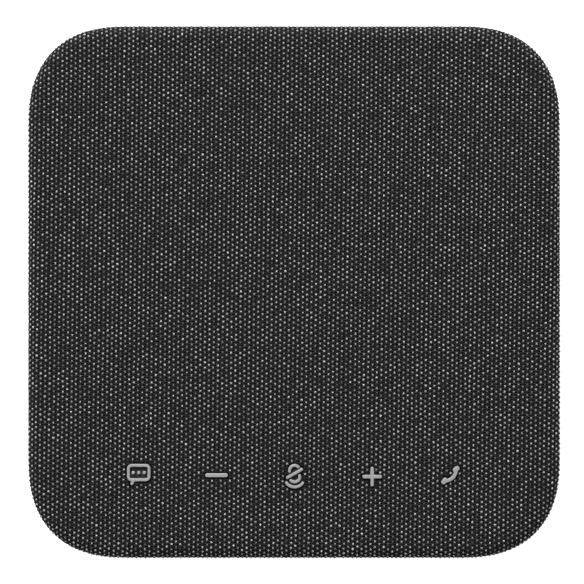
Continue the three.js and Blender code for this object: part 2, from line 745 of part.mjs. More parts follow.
add("speaker_frame", speakerFrame(), blackSteel, speaker);
add("speaker_top_plate", ring(platesHole, MAGNET / 2 - 1, magnetTop, ironTop), steel, speaker);
add("speaker_magnet", ring(magnetHole, MAGNET / 2, magnetUnder, magnetTop), ferrite, speaker);
add("speaker_yoke", yoke(), steel, speaker);
add("speaker_surround", surround(), rubber, speaker);
add("speaker_spider", spider(), varnishedCloth, speaker);
add("speaker_cone", cone(), paper, speaker);
add("speaker_dust_cap", dustCap(), paper, speaker);
add("voice_coil", voiceCoil(), copper, speaker);
const gasketInner = frameRadius - GASKET_WIDTH;
const gasketOuter = frameRadius - 2 * GAP;
add("speaker_gasket", ring(gasketInner, gasketOuter, flangeTop + SURROUND, roofUnder), foam, speaker);

earAt.forEach(([x, y], i) => {
  const length = speakerScrewTip - flangeUnder;
  add(`speaker_screw_${i + 1}`, screw(flangeUnder, length), steel, subgroup(x, y + DRIVER_SHIFT));
});

// ---------------------------------------------------------------- electronics

function mainBoard() {
  const holes = caseScrewAt.map((at) => bar(threadHole + GAP, mainBoardUnder - 1, mainBoardTop + 1, at, 10));
  const magnetBay = bar(MAGNET / 2 + 1, mainBoardUnder - 1, mainBoardTop + 1, [0, DRIVER_SHIFT], 24);
  const glandBay = block([4 * glandReach, 8], mainBoardUnder - 1, mainBoardTop + 1, [0, wellHalf]);
  return cut(slab(outline(mainBoardInset), mainBoardUnder, mainBoardTop), magnetBay, glandBay, ...holes);
}

function keyBoard() {
  const plate = block([2 * keyBoardHalf, KEY_BOARD_DEPTH], keyBoardUnder, keyBoardTop, [0, keyY]);
  const holes = stakeX.map((x) =>
    bar(STAKE / 2 + GAP, keyBoardUnder - 1, keyBoardTop + 1, [x, keyY], 8));
  return cut(plate, ...holes);
}

const [socketWidth, socketDepth, socketHeight] = SOCKET;
const socketBack = keyY + 3;
const ribbonEnd = socketBack - socketDepth / 2;

// A socket from z upwards, with a slot in its back for the flat cable.
function socket(z) {
  const middle = z + socketHeight / 2;
  const mouth = [RIBBON_WIDTH + 2 * GAP, socketDepth];
  const slot = block(mouth, middle - RIBBON, middle + RIBBON, [0, socketBack]);
  return cut(block([socketWidth, socketDepth], z, z + socketHeight, [0, ribbonEnd]), slot);
}

// The flat cable turns back on itself between the two sockets, one above the other.
function flatCable() {
  const low = mainBoardTop + socketHeight / 2;
  const high = keyBoardUnder - socketHeight / 2;
  const radius = (high - low) / 2;
  const start = ribbonEnd + 0.4;
  const turn = arc(socketBack + 1, low + radius, radius, 90, -90, 12);
  const section = stroke([[start, high], ...turn, [start, low]], RIBBON / 2, 2);
  return new THREE.ExtrudeGeometry(section, { depth: RIBBON_WIDTH, bevelEnabled: false })
    .translate(0, 0, -RIBBON_WIDTH / 2)
    .rotateX(Math.PI / 2)
    .rotateZ(Math.PI / 2);
}

const chipAt = [CHIP_SHIFT[0], keyY + CHIP_SHIFT[1]];
const headerTop = mainBoardTop + HEADER[2];
const headerX = half - SPEAKER_HEADER_INSET;
const usbY = wellHalf - USB_HEADER_INSET;

add("main_board", mainBoard(), circuitBoard);
add("key_board", keyBoard(), circuitBoard);
add("key_board_socket", socket(keyBoardUnder - socketHeight), ivoryPlastic);
add("main_board_socket", socket(mainBoardTop), ivoryPlastic);
add("flat_cable", flatCable(), ivoryPlastic);
add("audio_processor", block(CHIP, mainBoardTop, mainBoardTop + CHIP[2], chipAt), chipPlastic);
add("speaker_header", block(HEADER, mainBoardTop, headerTop, [headerX, DRIVER_SHIFT]), ivoryPlastic);
add("usb_header", block([HEADER[1], HEADER[0]], mainBoardTop, headerTop, [0, usbY]), ivoryPlastic);

// Each speaker lead runs from under the frame's flange to its header.
function speakerLead(offset) {
  const y = DRIVER_SHIFT + offset;
  const fall = flangeUnder - headerTop;
  return wire([
    [frameRadius - GASKET_WIDTH / 2, y, flangeUnder - WIRE / 2 - GAP],
    [frameRadius, y, flangeUnder - fall / 3],
    [headerX - WIRE / 2, y, flangeUnder - fall / 2],
    [headerX, y, headerTop + GAP],
  ]);
}

add("speaker_lead_red", speakerLead(WIRE), redWire);
add("speaker_lead_black", speakerLead(-WIRE), blackWire);

// ---------------------------------------------------------------- microphones

function microphoneBoot() {
  const bore = MIC / 2 + GAP;
  const port = MIC_PORT / 2;
  const shelf = roofUnder - MIC_BOOT_LIP;
  return turned([[port, shelf], [port, roofUnder], [bootRadius, roofUnder],
    [bootRadius, bootUnder], [bore, bootUnder], [bore, shelf]], [0, 0], 16);
}

for (const [name, side] of Object.entries(sides)) {
  const microphone = subgroup(side * micX, DRIVER_SHIFT);
  const inwards = (x) => -side * x;
  const fall = capsuleUnder - caseTop;
  add(`microphone_${name}`, bar(MIC / 2, capsuleUnder, capsuleTop), steel, microphone);
  add(`microphone_boot_${name}`, microphoneBoot(), rubber, microphone);
  const lead = wire([
    [0, 0, capsuleUnder - WIRE / 2],
    [0, 1, capsuleUnder - fall / 3],
    [inwards(MIC_INSET / 2), 4, caseTop + fall / 3],
    [inwards(8), 7, mainBoardTop + 2.5],
    [inwards(8.2), 7.4, mainBoardTop + GAP],
  ]);
  add(`microphone_lead_${name}`, lead, blackWire, microphone);
}

export default speakerphone;
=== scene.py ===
"""A conference speakerphone, dressed: woven skin, key symbols, shells, foot, and every piece inside.

Shapes are worked out in millimetres and turned into metres as they become meshes. Places come from the
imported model: each class below reads the boxes of the nodes that it stands for or sits against.
"""

import logging
import math
from dataclasses import dataclass, field
from enum import Enum

import bpy
import numpy as np
from mathutils import Matrix, Vector


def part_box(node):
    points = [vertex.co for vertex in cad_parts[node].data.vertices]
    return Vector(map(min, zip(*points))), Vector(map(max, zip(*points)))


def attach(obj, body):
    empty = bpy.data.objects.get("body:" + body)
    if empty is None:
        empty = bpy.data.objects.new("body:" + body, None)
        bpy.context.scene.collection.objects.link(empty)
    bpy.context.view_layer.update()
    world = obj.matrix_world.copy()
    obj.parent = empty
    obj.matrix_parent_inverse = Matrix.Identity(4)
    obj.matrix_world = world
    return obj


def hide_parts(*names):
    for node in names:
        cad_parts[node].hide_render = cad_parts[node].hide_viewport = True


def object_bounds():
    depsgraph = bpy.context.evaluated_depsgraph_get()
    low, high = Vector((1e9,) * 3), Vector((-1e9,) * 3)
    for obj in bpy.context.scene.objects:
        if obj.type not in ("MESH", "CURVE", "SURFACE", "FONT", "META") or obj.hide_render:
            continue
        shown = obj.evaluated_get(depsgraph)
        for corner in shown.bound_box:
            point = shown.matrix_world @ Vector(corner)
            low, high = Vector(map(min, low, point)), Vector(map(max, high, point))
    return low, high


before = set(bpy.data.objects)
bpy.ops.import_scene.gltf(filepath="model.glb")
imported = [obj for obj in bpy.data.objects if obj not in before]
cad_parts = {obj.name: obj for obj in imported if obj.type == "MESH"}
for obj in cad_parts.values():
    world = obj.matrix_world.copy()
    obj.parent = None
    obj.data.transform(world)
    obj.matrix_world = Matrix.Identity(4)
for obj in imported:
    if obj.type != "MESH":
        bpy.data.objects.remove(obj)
CAD_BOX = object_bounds()

MM = 0.001
WHISKER = 0.01  # allowed when heights are compared, mm
LOG = logging.getLogger("speakerphone")


# ---------------------------------------------------------------- meshes


@dataclass
class Body:
    """A closed mesh in millimetres."""

    vertices: np.ndarray
    faces: list[list[int]]

    def moved(self, x: float = 0, y: float = 0, z: float = 0) -> "Body":
        """The same body somewhere else."""
        return Body(self.vertices + np.array([x, y, z]), self.faces)

    def turned(self, angle: float, axis: str) -> "Body":
        """The same body turned about an axis through the origin, by an angle in degrees."""
        turn = np.array(Matrix.Rotation(math.radians(angle), 3, axis))
        return Body(self.vertices @ turn.T, self.faces)

    def as_object(self, name: str, sharp: float = 40) -> bpy.types.Object:
        """Makes the body an object in the scene.

        Args:
            name: The object's name.
            sharp: Edges that turn by more than this many degrees stay crisp.

        Returns:
            The new object, with its place in its mesh.
        """
        mesh = bpy.data.meshes.new(name)
        mesh.from_pydata((self.vertices * MM).tolist(), [], self.faces)
        mesh.shade_smooth()
        mesh.set_sharp_from_angle(angle=math.radians(sharp))
        made = bpy.data.objects.new(name, mesh)
        bpy.context.scene.collection.objects.link(made)
        return made


def together(bodies: list[Body]) -> Body:
    """Several bodies as one, each keeping its own shell.

    Args:
        bodies: The bodies to collect.

    Returns:
        One body that holds all their vertices and faces.
    """
    faces = []
    start = 0
    for body in bodies:
        faces += [[start + corner for corner in face] for face in body.faces]
        start += len(body.vertices)
    return Body(np.vstack([body.vertices for body in bodies]), faces)


def loft(rings: list[np.ndarray], closed: bool = False) -> Body:
    """Skins a stack of rings that all have the same number of points.

    Args:
        rings: Arrays of points, counterclockwise seen from above where the stack rises.
        closed: Whether the last ring joins the first, as on a hoop, instead of both being capped.

    Returns:
        The closed body.
    """
    count = len(rings[0])
    levels = len(rings)
    faces = []
    for level in range(levels if closed else levels - 1):
        low = level * count
        high = ((level + 1) % levels) * count
        for i in range(count):
            j = (i + 1) % count
            faces.append([low + i, low + j, high + j, high + i])
    if not closed:
        faces.append(list(range(count))[::-1])
        faces.append([(levels - 1) * count + i for i in range(count)])
    return Body(np.vstack(rings), faces)


def circle(radius: float, steps: int) -> np.ndarray:
    """Points round a circle, counterclockwise."""
    angles = np.arange(steps) / steps * math.tau
    return np.column_stack([np.cos(angles), np.sin(angles)]) * radius


def raised(plan: np.ndarray, z: float) -> np.ndarray:
    """Plan points at a height."""
    return np.column_stack([plan, np.full(len(plan), z)])


def prism(plan: np.ndarray, low: float, high: float) -> Body:
    """An upright solid with that plan."""
    return loft([raised(plan, low), raised(plan, high)])


def lathe(profile: list[tuple[float, float]], steps: int = 48, closed: bool = False) -> Body:
    """A solid of revolution about Z, from (radius, z) points that rise on the outside.

    Args:
        profile: The section; where it isn't closed, its two ends are capped with discs.
        steps: Facets round the axis.
        closed: Whether the section closes on itself, as on a ring.

    Returns:
        The closed body.
    """
    return loft([raised(circle(radius, steps), z) for radius, z in profile], closed)


def rounding(radius: float, steps: int = 4) -> list[tuple[float, float]]:
    """How far a quarter round comes in and drops, from the side face up to the top face."""
    angles = [math.pi / 2 * k / steps for k in range(steps + 1)]
    return [(radius * (1 - math.cos(a)), radius * (1 - math.sin(a))) for a in angles]


def settle(piece: bpy.types.Object) -> None:
    """Turns what a piece's modifiers make into its plain mesh.

    Args:
        piece: The object, whose modifiers are removed.
    """
    graph = bpy.context.evaluated_depsgraph_get()
    mesh = bpy.data.meshes.new_from_object(
        piece.evaluated_get(graph), preserve_all_data_layers=True, depsgraph=graph
    )
    before = piece.data
    piece.modifiers.clear()
    piece.data = mesh
    bpy.data.meshes.remove(before)
    mesh.name = piece.name


def carve(piece: bpy.types.Object, tools: list[Body], operation: str = "DIFFERENCE") -> bpy.types.Object:
    """Cuts bodies out of a piece, or joins them to it.

    Args:
        piece: The object to change.
        tools: Closed bodies, which may overlap each other.
        operation: DIFFERENCE to cut, UNION to join.

    Returns:
        The same object, with its new mesh.
    """
    tool = together(tools).as_object("tool")
    modifier = piece.modifiers.new("carve", "BOOLEAN")
    modifier.solver = "EXACT"
    modifier.use_self = True
    modifier.operation = operation
    modifier.object = tool
    settle(piece)
    bpy.data.objects.remove(tool)
    piece.data.shade_smooth()
    piece.data.set_sharp_from_angle(angle=math.radians(40))
    return piece


def vectors(items: bpy.types.bpy_prop_collection, key: str, width: int = 3) -> np.ndarray:
    """One value of every item in a mesh's list, with a row for each item.

    Args:
        items: The mesh's vertices, or the data of one of its layers.
        key: Which value to read.
        width: How many numbers it has.

    Returns:
        The values.
    """
    values = np.empty(len(items) * width, np.float32)
    items.foreach_get(key, values)
    return values.reshape(-1, width)


def corners_of(mesh: bpy.types.Mesh) -> np.ndarray:
    """Which vertex each corner of a mesh's faces stands on.

    Args:
        mesh: The mesh.

    Returns:
        A vertex's number for each corner of the faces.
    """
    corners = np.empty(len(mesh.loops), np.int32)
    mesh.loops.foreach_get("vertex_index", corners)
    return corners


def write_map(mesh: bpy.types.Mesh, name: str, places: np.ndarray) -> None:
    """Writes a mesh's map of that name, from a place for each corner of its faces."""
    layer = mesh.uv_layers.get(name) or mesh.uv_layers.new(name=name)
    layer.uv.foreach_set("vector", places.astype(np.float32).ravel())


# ---------------------------------------------------------------- finishes


class Slot(Enum):
    """The material slots of the record."""

    FABRIC = "fabric"
    SYMBOL_PLASTIC = "symbol_plastic"
    DARK_PLASTIC = "dark_plastic"
    RUBBER = "rubber"
    FOAM = "foam"
    STEEL = "steel"
    BLACK_STEEL = "black_steel"
    FERRITE = "ferrite"
    PAPER = "paper"
    VARNISHED_CLOTH = "varnished_cloth"
    COPPER = "copper"
    CIRCUIT_BOARD = "circuit_board"
    IVORY_PLASTIC = "ivory_plastic"
    CHIP_PLASTIC = "chip_plastic"
    RED_WIRE = "red_wire"
    BLACK_WIRE = "black_wire"


class Grain(Enum):
    """How a surface was made, which sets the pattern that it carries."""

    SPARKED = "moulded against a spark-eroded tool"
    ROLLED = "rolled or turned metal under a thin plating"
    PRESSED = "pressed and fired powder"
    FELTED = "fibres felted on a mesh"
    CELLS = "open cells"
    CLOTH = "open plain weave under varnish"
    WOUND = "wire laid turn on turn"
    ETCHED = "etched tracks under a printed mask"


def linear(colour: str) -> tuple[float, float, float, float]:
    """Turns an sRGB hex colour such as 3a3a3d into linear red, green, blue and a full alpha.

    Args:
        colour: Six hex digits.

    Returns:
        The colour as a shader takes it.
    """
    shares = [int(colour[i : i + 2], 16) / 255 for i in (0, 2, 4)]
    red, green, blue = [s / 12.92 if s <= 0.04045 else ((s + 0.055) / 1.055) ** 2.4 for s in shares]
    return red, green, blue, 1.0


def feed(tree: bpy.types.NodeTree, node: bpy.types.Node, inputs: dict) -> None:
    """Sets a node's inputs, by name or number, each to a value or from the output that feeds it.

    Args:
        tree: The tree that the node is in.
        node: The node.
        inputs: What each input gets.
    """
    for name, value in inputs.items():
        if isinstance(value, bpy.types.NodeSocket):
            tree.links.new(value, node.inputs[name])
        else:
            node.inputs[name].default_value = value


def add_node(tree: bpy.types.NodeTree, kind: str, inputs: dict | None = None, **settings) -> bpy.types.Node:
    """Adds a node with its settings, values and links.

    Args:
        tree: The material's or the modifier's tree.
        kind: The node's type name.
        inputs: For each input, by name or number, a value or the output that feeds it.
        **settings: The node's own properties.

    Returns:
        The new node.
    """
    made = tree.nodes.new(kind)
    for name, value in settings.items():
        setattr(made, name, value)
    feed(tree, made, inputs or {})
    return made


def new_material(name: str) -> tuple[bpy.types.Material, bpy.types.NodeTree, bpy.types.Node]:
    """Starts a material: the material, its tree and its shader.

    Args:
        name: The material's name.

    Returns:
        The three of them, with the shader as it comes.
    """
    material = bpy.data.materials.new(name)
    material.use_nodes = True
    return material, material.node_tree, material.node_tree.nodes["Principled BSDF"]


WAVE_SCALE = math.pi / 10  # of a wave texture, for one band in each unit of length
STRETCH = {Grain.ROLLED: (1, 14, 1), Grain.FELTED: (1, 3.5, 1)}  # how far fibres and streaks are drawn out


@dataclass(frozen=True)
class Finish:
    """A material, from what the real one is and how its surface was made."""

    name: str
    deep: str  # the colour in its hollows, sRGB
    high: str  # the colour on its high spots, sRGB
    grain: Grain
    size: float  # spacing of the pattern, mm
    relief: float  # height of the pattern, mm
    roughness: tuple[float, float]
    metallic: float = 0.0
    ior: float = 1.5
    sheen: float = 0.0
    blotch: float = 9.0  # size of the slow variation over the surface, mm
    patterned: float = 0.7  # share of the colour that follows the pattern, and not the slow variation
    usual: tuple[float, float] = (0.3, 0.7)  # between which the slow variation's values lie

    def pattern(self, tree: bpy.types.NodeTree) -> bpy.types.NodeSocket:
        """The surface's height, from 0 in its hollows to 1 on its high spots.

        Args:
            tree: The material's tree.

        Returns:
            The output that carries the height.
        """
        place = add_node(tree, "ShaderNodeTexCoord").outputs["Object"]
        step = 1 / (self.size * MM)
        if self.grain in (Grain.SPARKED, Grain.PRESSED):
            return add_node(
                tree, "ShaderNodeTexNoise", {"Vector": place, "Scale": step, "Detail": 3.0}
            ).outputs["Fac"]
        if self.grain is Grain.CELLS:
            return add_node(
                tree, "ShaderNodeTexVoronoi", {"Vector": place, "Scale": step}, feature="DISTANCE_TO_EDGE"
            ).outputs["Distance"]
        if self.grain is Grain.ETCHED:
            return self.tracks(tree, place, step)
        if self.grain is Grain.WOUND:
            return add_node(
                tree, "ShaderNodeTexWave",
                {"Vector": place, "Scale": step * WAVE_SCALE, "Distortion": 0.4, "Detail": 1.0},
                bands_direction="Z",
            ).outputs["Fac"]
        if self.grain is Grain.CLOTH:
            threads = [
                add_node(
                    tree, "ShaderNodeTexWave",
                    {"Vector": place, "Scale": step * WAVE_SCALE, "Distortion": 0.3},
                    bands_direction=direction,
                ).outputs["Fac"]
                for direction in ("X", "Y")
            ]
            return add_node(
                tree, "ShaderNodeMath", {0: threads[0], 1: threads[1]}, operation="MAXIMUM"
            ).outputs[0]
        drawn = add_node(tree, "ShaderNodeMapping", {"Vector": place, "Scale": STRETCH[self.grain]})
        return add_node(
            tree, "ShaderNodeTexNoise",
            {"Vector": drawn.outputs["Vector"], "Scale": step / 6, "Detail": 6.0, "Roughness": 0.62},
        ).outputs["Fac"]

    def tracks(
        self, tree: bpy.types.NodeTree, place: bpy.types.NodeSocket, step: float, bands: float = 26.0
    ) -> bpy.types.NodeSocket:
        """Tracks side by side that turn square corners.

        Args:
            tree: The material's tree.
            place: Where on the surface, in metres.
            step: Groups of tracks for each metre.
            bands: How close the tracks of a group lie.

        Returns:
            The output that carries the height.
        """
        cells = add_node(
            tree, "ShaderNodeTexVoronoi", {"Vector": place, "Scale": step, "Randomness": 0.8},
            feature="F1", distance="CHEBYCHEV",
        )
        turns = add_node(
            tree, "ShaderNodeMath", {0: cells.outputs["Distance"], 1: bands}, operation="MULTIPLY"
        )
        wave = add_node(tree, "ShaderNodeMath", {0: turns.outputs[0]}, operation="SINE")
        return add_node(
            tree, "ShaderNodeMapRange", {"Value": wave.outputs[0], "From Min": 0.1, "From Max": 0.5}
        ).outputs["Result"]

    def build(self) -> bpy.types.Material:
        """Makes the material.

        Returns:
            The material, with its pattern in its colour and its relief, and a slow variation in its colour
            and its roughness.
        """
        material, tree, shader = new_material(self.name)
        height = self.pattern(tree)
        place = add_node(tree, "ShaderNodeTexCoord").outputs["Object"]
        slow = add_node(
            tree, "ShaderNodeTexNoise",
            {"Vector": place, "Scale": 1 / (self.blotch * MM), "Detail": 2.0},
        ).outputs["Fac"]
        rest = add_node(tree, "ShaderNodeMath", {0: slow, 1: 1 - self.patterned}, operation="MULTIPLY")
        blend = add_node(
            tree, "ShaderNodeMath", {0: height, 1: self.patterned, 2: rest.outputs[0]},
            operation="MULTIPLY_ADD",
        )
        colour = add_node(
            tree, "ShaderNodeMix",
            {0: blend.outputs[0], 6: linear(self.deep), 7: linear(self.high)},
            data_type="RGBA",
        )
        rough = add_node(
            tree, "ShaderNodeMapRange",
            {
                "Value": slow, "From Min": self.usual[0], "From Max": self.usual[1],
                "To Min": self.roughness[0], "To Max": self.roughness[1],
            },
        )
        relief = add_node(tree, "ShaderNodeBump", {"Height": height, "Distance": self.relief * MM})
        feed(tree, shader, {
            "Base Color": colour.outputs[2], "Roughness": rough.outputs["Result"],
            "Normal": relief.outputs["Normal"], "Metallic": self.metallic, "IOR": self.ior,
            "Sheen Weight": self.sheen,
        })
        return material


@dataclass(frozen=True)
class WovenGround:
    """The ground of the skin: near-black textured polyester in a brick-like plain weave.

    Its yarns leave a small pore on either side of each crossing, painted black as the shade in that gap, so
    that the eye sees a dark grey net with black dots in it.
    """

    column: float  # from one column of crossings to the next, mm
    pitch: float  # from one crossing to the next in a column, mm
    # painted shade: the pores' colour, near-black for the shade in the gaps between the yarns
    pore: str = "010101"
    yarn: str = "2f2f2f"
    tie: str = "4a4a4a"
    fuzz: float = 0.16  # size of the yarn's loose filaments, mm
    sway: float = 0.14  # how far the yarns wander, mm
    stray: float = 0.35  # share of the height that the loose filaments make
    loose: tuple[float, float] = (0.5, 0.75)  # from where to where a loose filament shows
    lit: float = 0.8  # how light a loose filament gets, from the yarn's colour to the tie's
    relief: float = 0.3
    sharpness: float = 1.1  # how small the pores are
    roughness: tuple[float, float] = (0.95, 0.8)  # on the yarns and in the pores
    specular: float = 0.03

    def wave(
        self, tree: bpy.types.NodeTree, along: bpy.types.NodeSocket, period: float, kind: str
    ) -> bpy.types.NodeSocket:
        """A sine or a cosine along one direction of the weave."""
        turns = add_node(tree, "ShaderNodeMath", {0: along, 1: math.tau / period}, operation="MULTIPLY")
        return add_node(tree, "ShaderNodeMath", {0: turns.outputs[0]}, operation=kind).outputs[0]

    def build(self) -> bpy.types.Material:
        """Makes the material, which follows the skin's own map of its weave, in millimetres.

        Returns:
            The material.
        """
        material, tree, shader = new_material("woven polyester ground")
        place = add_node(tree, "ShaderNodeUVMap", uv_map="weave").outputs["UV"]
        stray = add_node(
            tree, "ShaderNodeTexNoise", {"Vector": place, "Scale": 1 / self.fuzz, "Detail": 3.0}
        )
        sway = add_node(
            tree, "ShaderNodeVectorMath",
            {0: stray.outputs["Color"], 1: (self.sway, self.sway, 0), 2: place},
            operation="MULTIPLY_ADD",
        )
        parts = add_node(tree, "ShaderNodeSeparateXYZ", {0: sway.outputs[0]})
        across = self.wave(tree, parts.outputs["X"], 2 * self.column, "SINE")
        down = self.wave(tree, parts.outputs["Y"], self.pitch, "COSINE")
        both = add_node(tree, "ShaderNodeMath", {0: across, 1: down}, operation="MULTIPLY")
        size = add_node(tree, "ShaderNodeMath", {0: both.outputs[0]}, operation="ABSOLUTE")
        hole = add_node(tree, "ShaderNodeMath", {0: size.outputs[0], 1: self.sharpness}, operation="POWER")
        crown = add_node(tree, "ShaderNodeMath", {0: 1.0, 1: hole.outputs[0]}, operation="SUBTRACT")
        height = add_node(
            tree, "ShaderNodeMath",
            {0: stray.outputs["Fac"], 1: self.stray, 2: crown.outputs[0]},
            operation="MULTIPLY_ADD",
        )
        # The pores take the pore colour: painted shade in the gaps between the yarns.
        yarn = add_node(
            tree, "ShaderNodeMix",
            {0: crown.outputs[0], 6: linear(self.pore), 7: linear(self.yarn)},
            data_type="RGBA",
        )
        loose = add_node(
            tree, "ShaderNodeMapRange",
            {
                "Value": stray.outputs["Fac"], "From Min": self.loose[0], "From Max": self.loose[1],
                "To Max": self.lit,
            },
        )
        colour = add_node(
            tree, "ShaderNodeMix",
            {0: loose.outputs["Result"], 6: yarn.outputs[2], 7: linear(self.tie)},
            data_type="RGBA",
        )
        rough = add_node(
            tree, "ShaderNodeMapRange",
            {"Value": size.outputs[0], "To Min": self.roughness[0], "To Max": self.roughness[1]},
        )
        bump = add_node(
            tree, "ShaderNodeBump", {"Height": height.outputs[0], "Distance": self.relief * MM}
        )
        feed(tree, shader, {
            "Base Color": colour.outputs[2], "Roughness": rough.outputs["Result"],
            "Normal": bump.outputs["Normal"], "Specular IOR Level": self.specular,
        })
        return material


@dataclass(frozen=True)
class MelangeYarn:
    """The light yarn that floats over each crossing: undyed and grey filaments twisted together.

    Each float shows its own share of light filaments, so that the eye sees dots from dim grey to nearly
    white.
    """

    dim: str = "3a3a3a"
    bright: str = "d6d6d6"
    filament: str = "707070"
    filaments: float = 5.0  # seen side by side across one float
    share: float = 0.35  # how much of their own colour the filaments show
    relief: float = 0.03
    roughness: float = 0.6
    specular: float = 0.2

    def build(self) -> bpy.types.Material:
        """Makes the material, which reads each float's own shade and its place on the float.

        Returns:
            The material.
        """
        material, tree, shader = new_material("melange polyester yarn")
        shade = add_node(tree, "ShaderNodeAttribute", attribute_name="shade").outputs["Fac"]
        local = add_node(tree, "ShaderNodeAttribute", attribute_name="local").outputs["Vector"]
        twist = add_node(
            tree, "ShaderNodeTexWave",
            {"Vector": local, "Scale": self.filaments / 5, "Distortion": 1.5, "Detail": 1.0},
            bands_direction="DIAGONAL",
        ).outputs["Fac"]
        body = add_node(
            tree, "ShaderNodeMix",
            {0: shade, 6: linear(self.dim), 7: linear(self.bright)},
            data_type="RGBA",
        )
        share = add_node(tree, "ShaderNodeMath", {0: twist, 1: self.share}, operation="MULTIPLY")
        colour = add_node(
            tree, "ShaderNodeMix",
            {0: share.outputs[0], 6: body.outputs[2], 7: linear(self.filament)},
            data_type="RGBA",
        )
        bump = add_node(tree, "ShaderNodeBump", {"Height": twist, "Distance": self.relief * MM})
        feed(tree, shader, {
            "Base Color": colour.outputs[2], "Normal": bump.outputs["Normal"],
            "Roughness": self.roughness, "Specular IOR Level": self.specular,
        })
        return material


FINISHES = {
    # Satin acrylic-blend plastic moulded in a lightly blasted tool: even light grey, softly shiny.
    Slot.SYMBOL_PLASTIC: Finish(
        "satin moulded ABS", "939393", "a5a5a5", Grain.SPARKED, 0.12, 0.006, (0.34, 0.42), ior=1.53
    ),
    # Black ABS from a spark-eroded mould: pebbling that keeps highlights wide and dull. The real 0.2 mm is
    # too fine to show, so it is drawn coarser.
    Slot.DARK_PLASTIC: Finish(
        "textured moulded ABS", "0f0f10", "2a2a2c", Grain.SPARKED, 0.6, 0.07, (0.5, 0.62), ior=1.53
    ),
    # Moulded silicone rubber: matt, slightly dusty on its high spots. Drawn coarser than its real 0.3 mm.
    Slot.RUBBER: Finish(
        "moulded silicone rubber", "0c0c0d", "262627", Grain.SPARKED, 0.8, 0.05, (0.74, 0.9), ior=1.41,
        sheen=0.15,
    ),
    # Open-cell polyurethane foam: lighter cell walls, with the pores between them painted dark as painted
    # shade inside the open cells.
    Slot.FOAM: Finish(
        "open-cell polyurethane foam", "2c2c2f", "0b0b0c", Grain.CELLS, 0.45, 0.25, (0.9, 1.0), sheen=0.3
    ),
    # Zinc-plated steel: bluish silver with drawn streaks.
    Slot.STEEL: Finish(
        "zinc-plated steel", "8d8f93", "b4b6ba", Grain.ROLLED, 0.5, 0.006, (0.26, 0.42), metallic=1.0
    ),
    # Steel under black baked enamel: shallow orange peel and a firm highlight.
    Slot.BLACK_STEEL: Finish(
        "black enamelled steel", "0d0d0e", "1c1c1f", Grain.SPARKED, 0.9, 0.02, (0.3, 0.42), ior=1.52
    ),
    # Sintered ferrite: dark grey, dry, with a fine open grain.
    Slot.FERRITE: Finish(
        "sintered ferrite", "26272a", "47484d", Grain.PRESSED, 0.25, 0.04, (0.55, 0.75), ior=2.3
    ),
    # Black pulp paper: felted fibres that catch a little light.
    Slot.PAPER: Finish(
        "black pulp paper", "151515", "353534", Grain.FELTED, 0.6, 0.05, (0.85, 0.98), sheen=0.1
    ),
    # Cotton cloth stiffened with phenolic varnish: amber threads with open mesh between them.
    Slot.VARNISHED_CLOTH: Finish(
        "varnished cotton cloth", "5f3d12", "c79647", Grain.CLOTH, 0.5, 0.08, (0.45, 0.6), ior=1.55
    ),
    # Enamelled copper wire, wound in one layer: copper colour on the ridges, darkened between the turns as
    # painted shade.
    Slot.COPPER: Finish(
        "wound enamelled copper", "7a3618", "d98a55", Grain.WOUND, 0.22, 0.06, (0.25, 0.38), metallic=1.0
    ),
    # Glass-epoxy board under green solder mask, with tracks showing through as lighter lines.
    Slot.CIRCUIT_BOARD: Finish(
        "green solder mask on copper", "0c3322", "1d6a45", Grain.ETCHED, 6.0, 0.03, (0.28, 0.4), ior=1.55
    ),
    # Unfilled nylon, as in sockets and plungers: warm white and faintly waxy.
    Slot.IVORY_PLASTIC: Finish(
        "natural nylon", "cfc6ae", "e2dbc8", Grain.SPARKED, 0.4, 0.01, (0.38, 0.5), ior=1.53
    ),
    # Transfer-moulded epoxy with silica: charcoal, with a fine sandy face.
    Slot.CHIP_PLASTIC: Finish(
        "silica-filled epoxy", "131416", "2b2d30", Grain.PRESSED, 0.15, 0.012, (0.48, 0.6), ior=1.55
    ),
    # Extruded PVC insulation: smooth, with faint drag lines.
    Slot.RED_WIRE: Finish(
        "red PVC insulation", "7d1414", "a82222", Grain.ROLLED, 0.8, 0.01, (0.32, 0.42), ior=1.54
    ),
    Slot.BLACK_WIRE: Finish(
        "black PVC insulation", "0b0b0b", "1d1d1d", Grain.ROLLED, 0.8, 0.01, (0.32, 0.42), ior=1.54
    ),
}


@dataclass
class Wardrobe:
    """Holds each finish once it has been made, and puts it on pieces."""

    made: dict[Slot, bpy.types.Material] = field(default_factory=dict)

    def material(self, slot: Slot) -> bpy.types.Material:
        """A slot's material, made when it is first asked for.

        Args:
            slot: One of the record's slots.

        Returns:
            The slot's one material.
        """
        if slot not in self.made:
            self.made[slot] = FINISHES[slot].build()
        return self.made[slot]

    def dress(self, piece: bpy.types.Object, slot: Slot) -> bpy.types.Object:
        """Gives a piece the finish of a slot.

        Args:
            piece: The object to dress.
            slot: Which of the record's slots it takes its finish from.

        Returns:
            The same object.
        """
        piece.data.materials.clear()
        piece.data.materials.append(self.material(slot))
        return piece


# ---------------------------------------------------------------- the shared plan


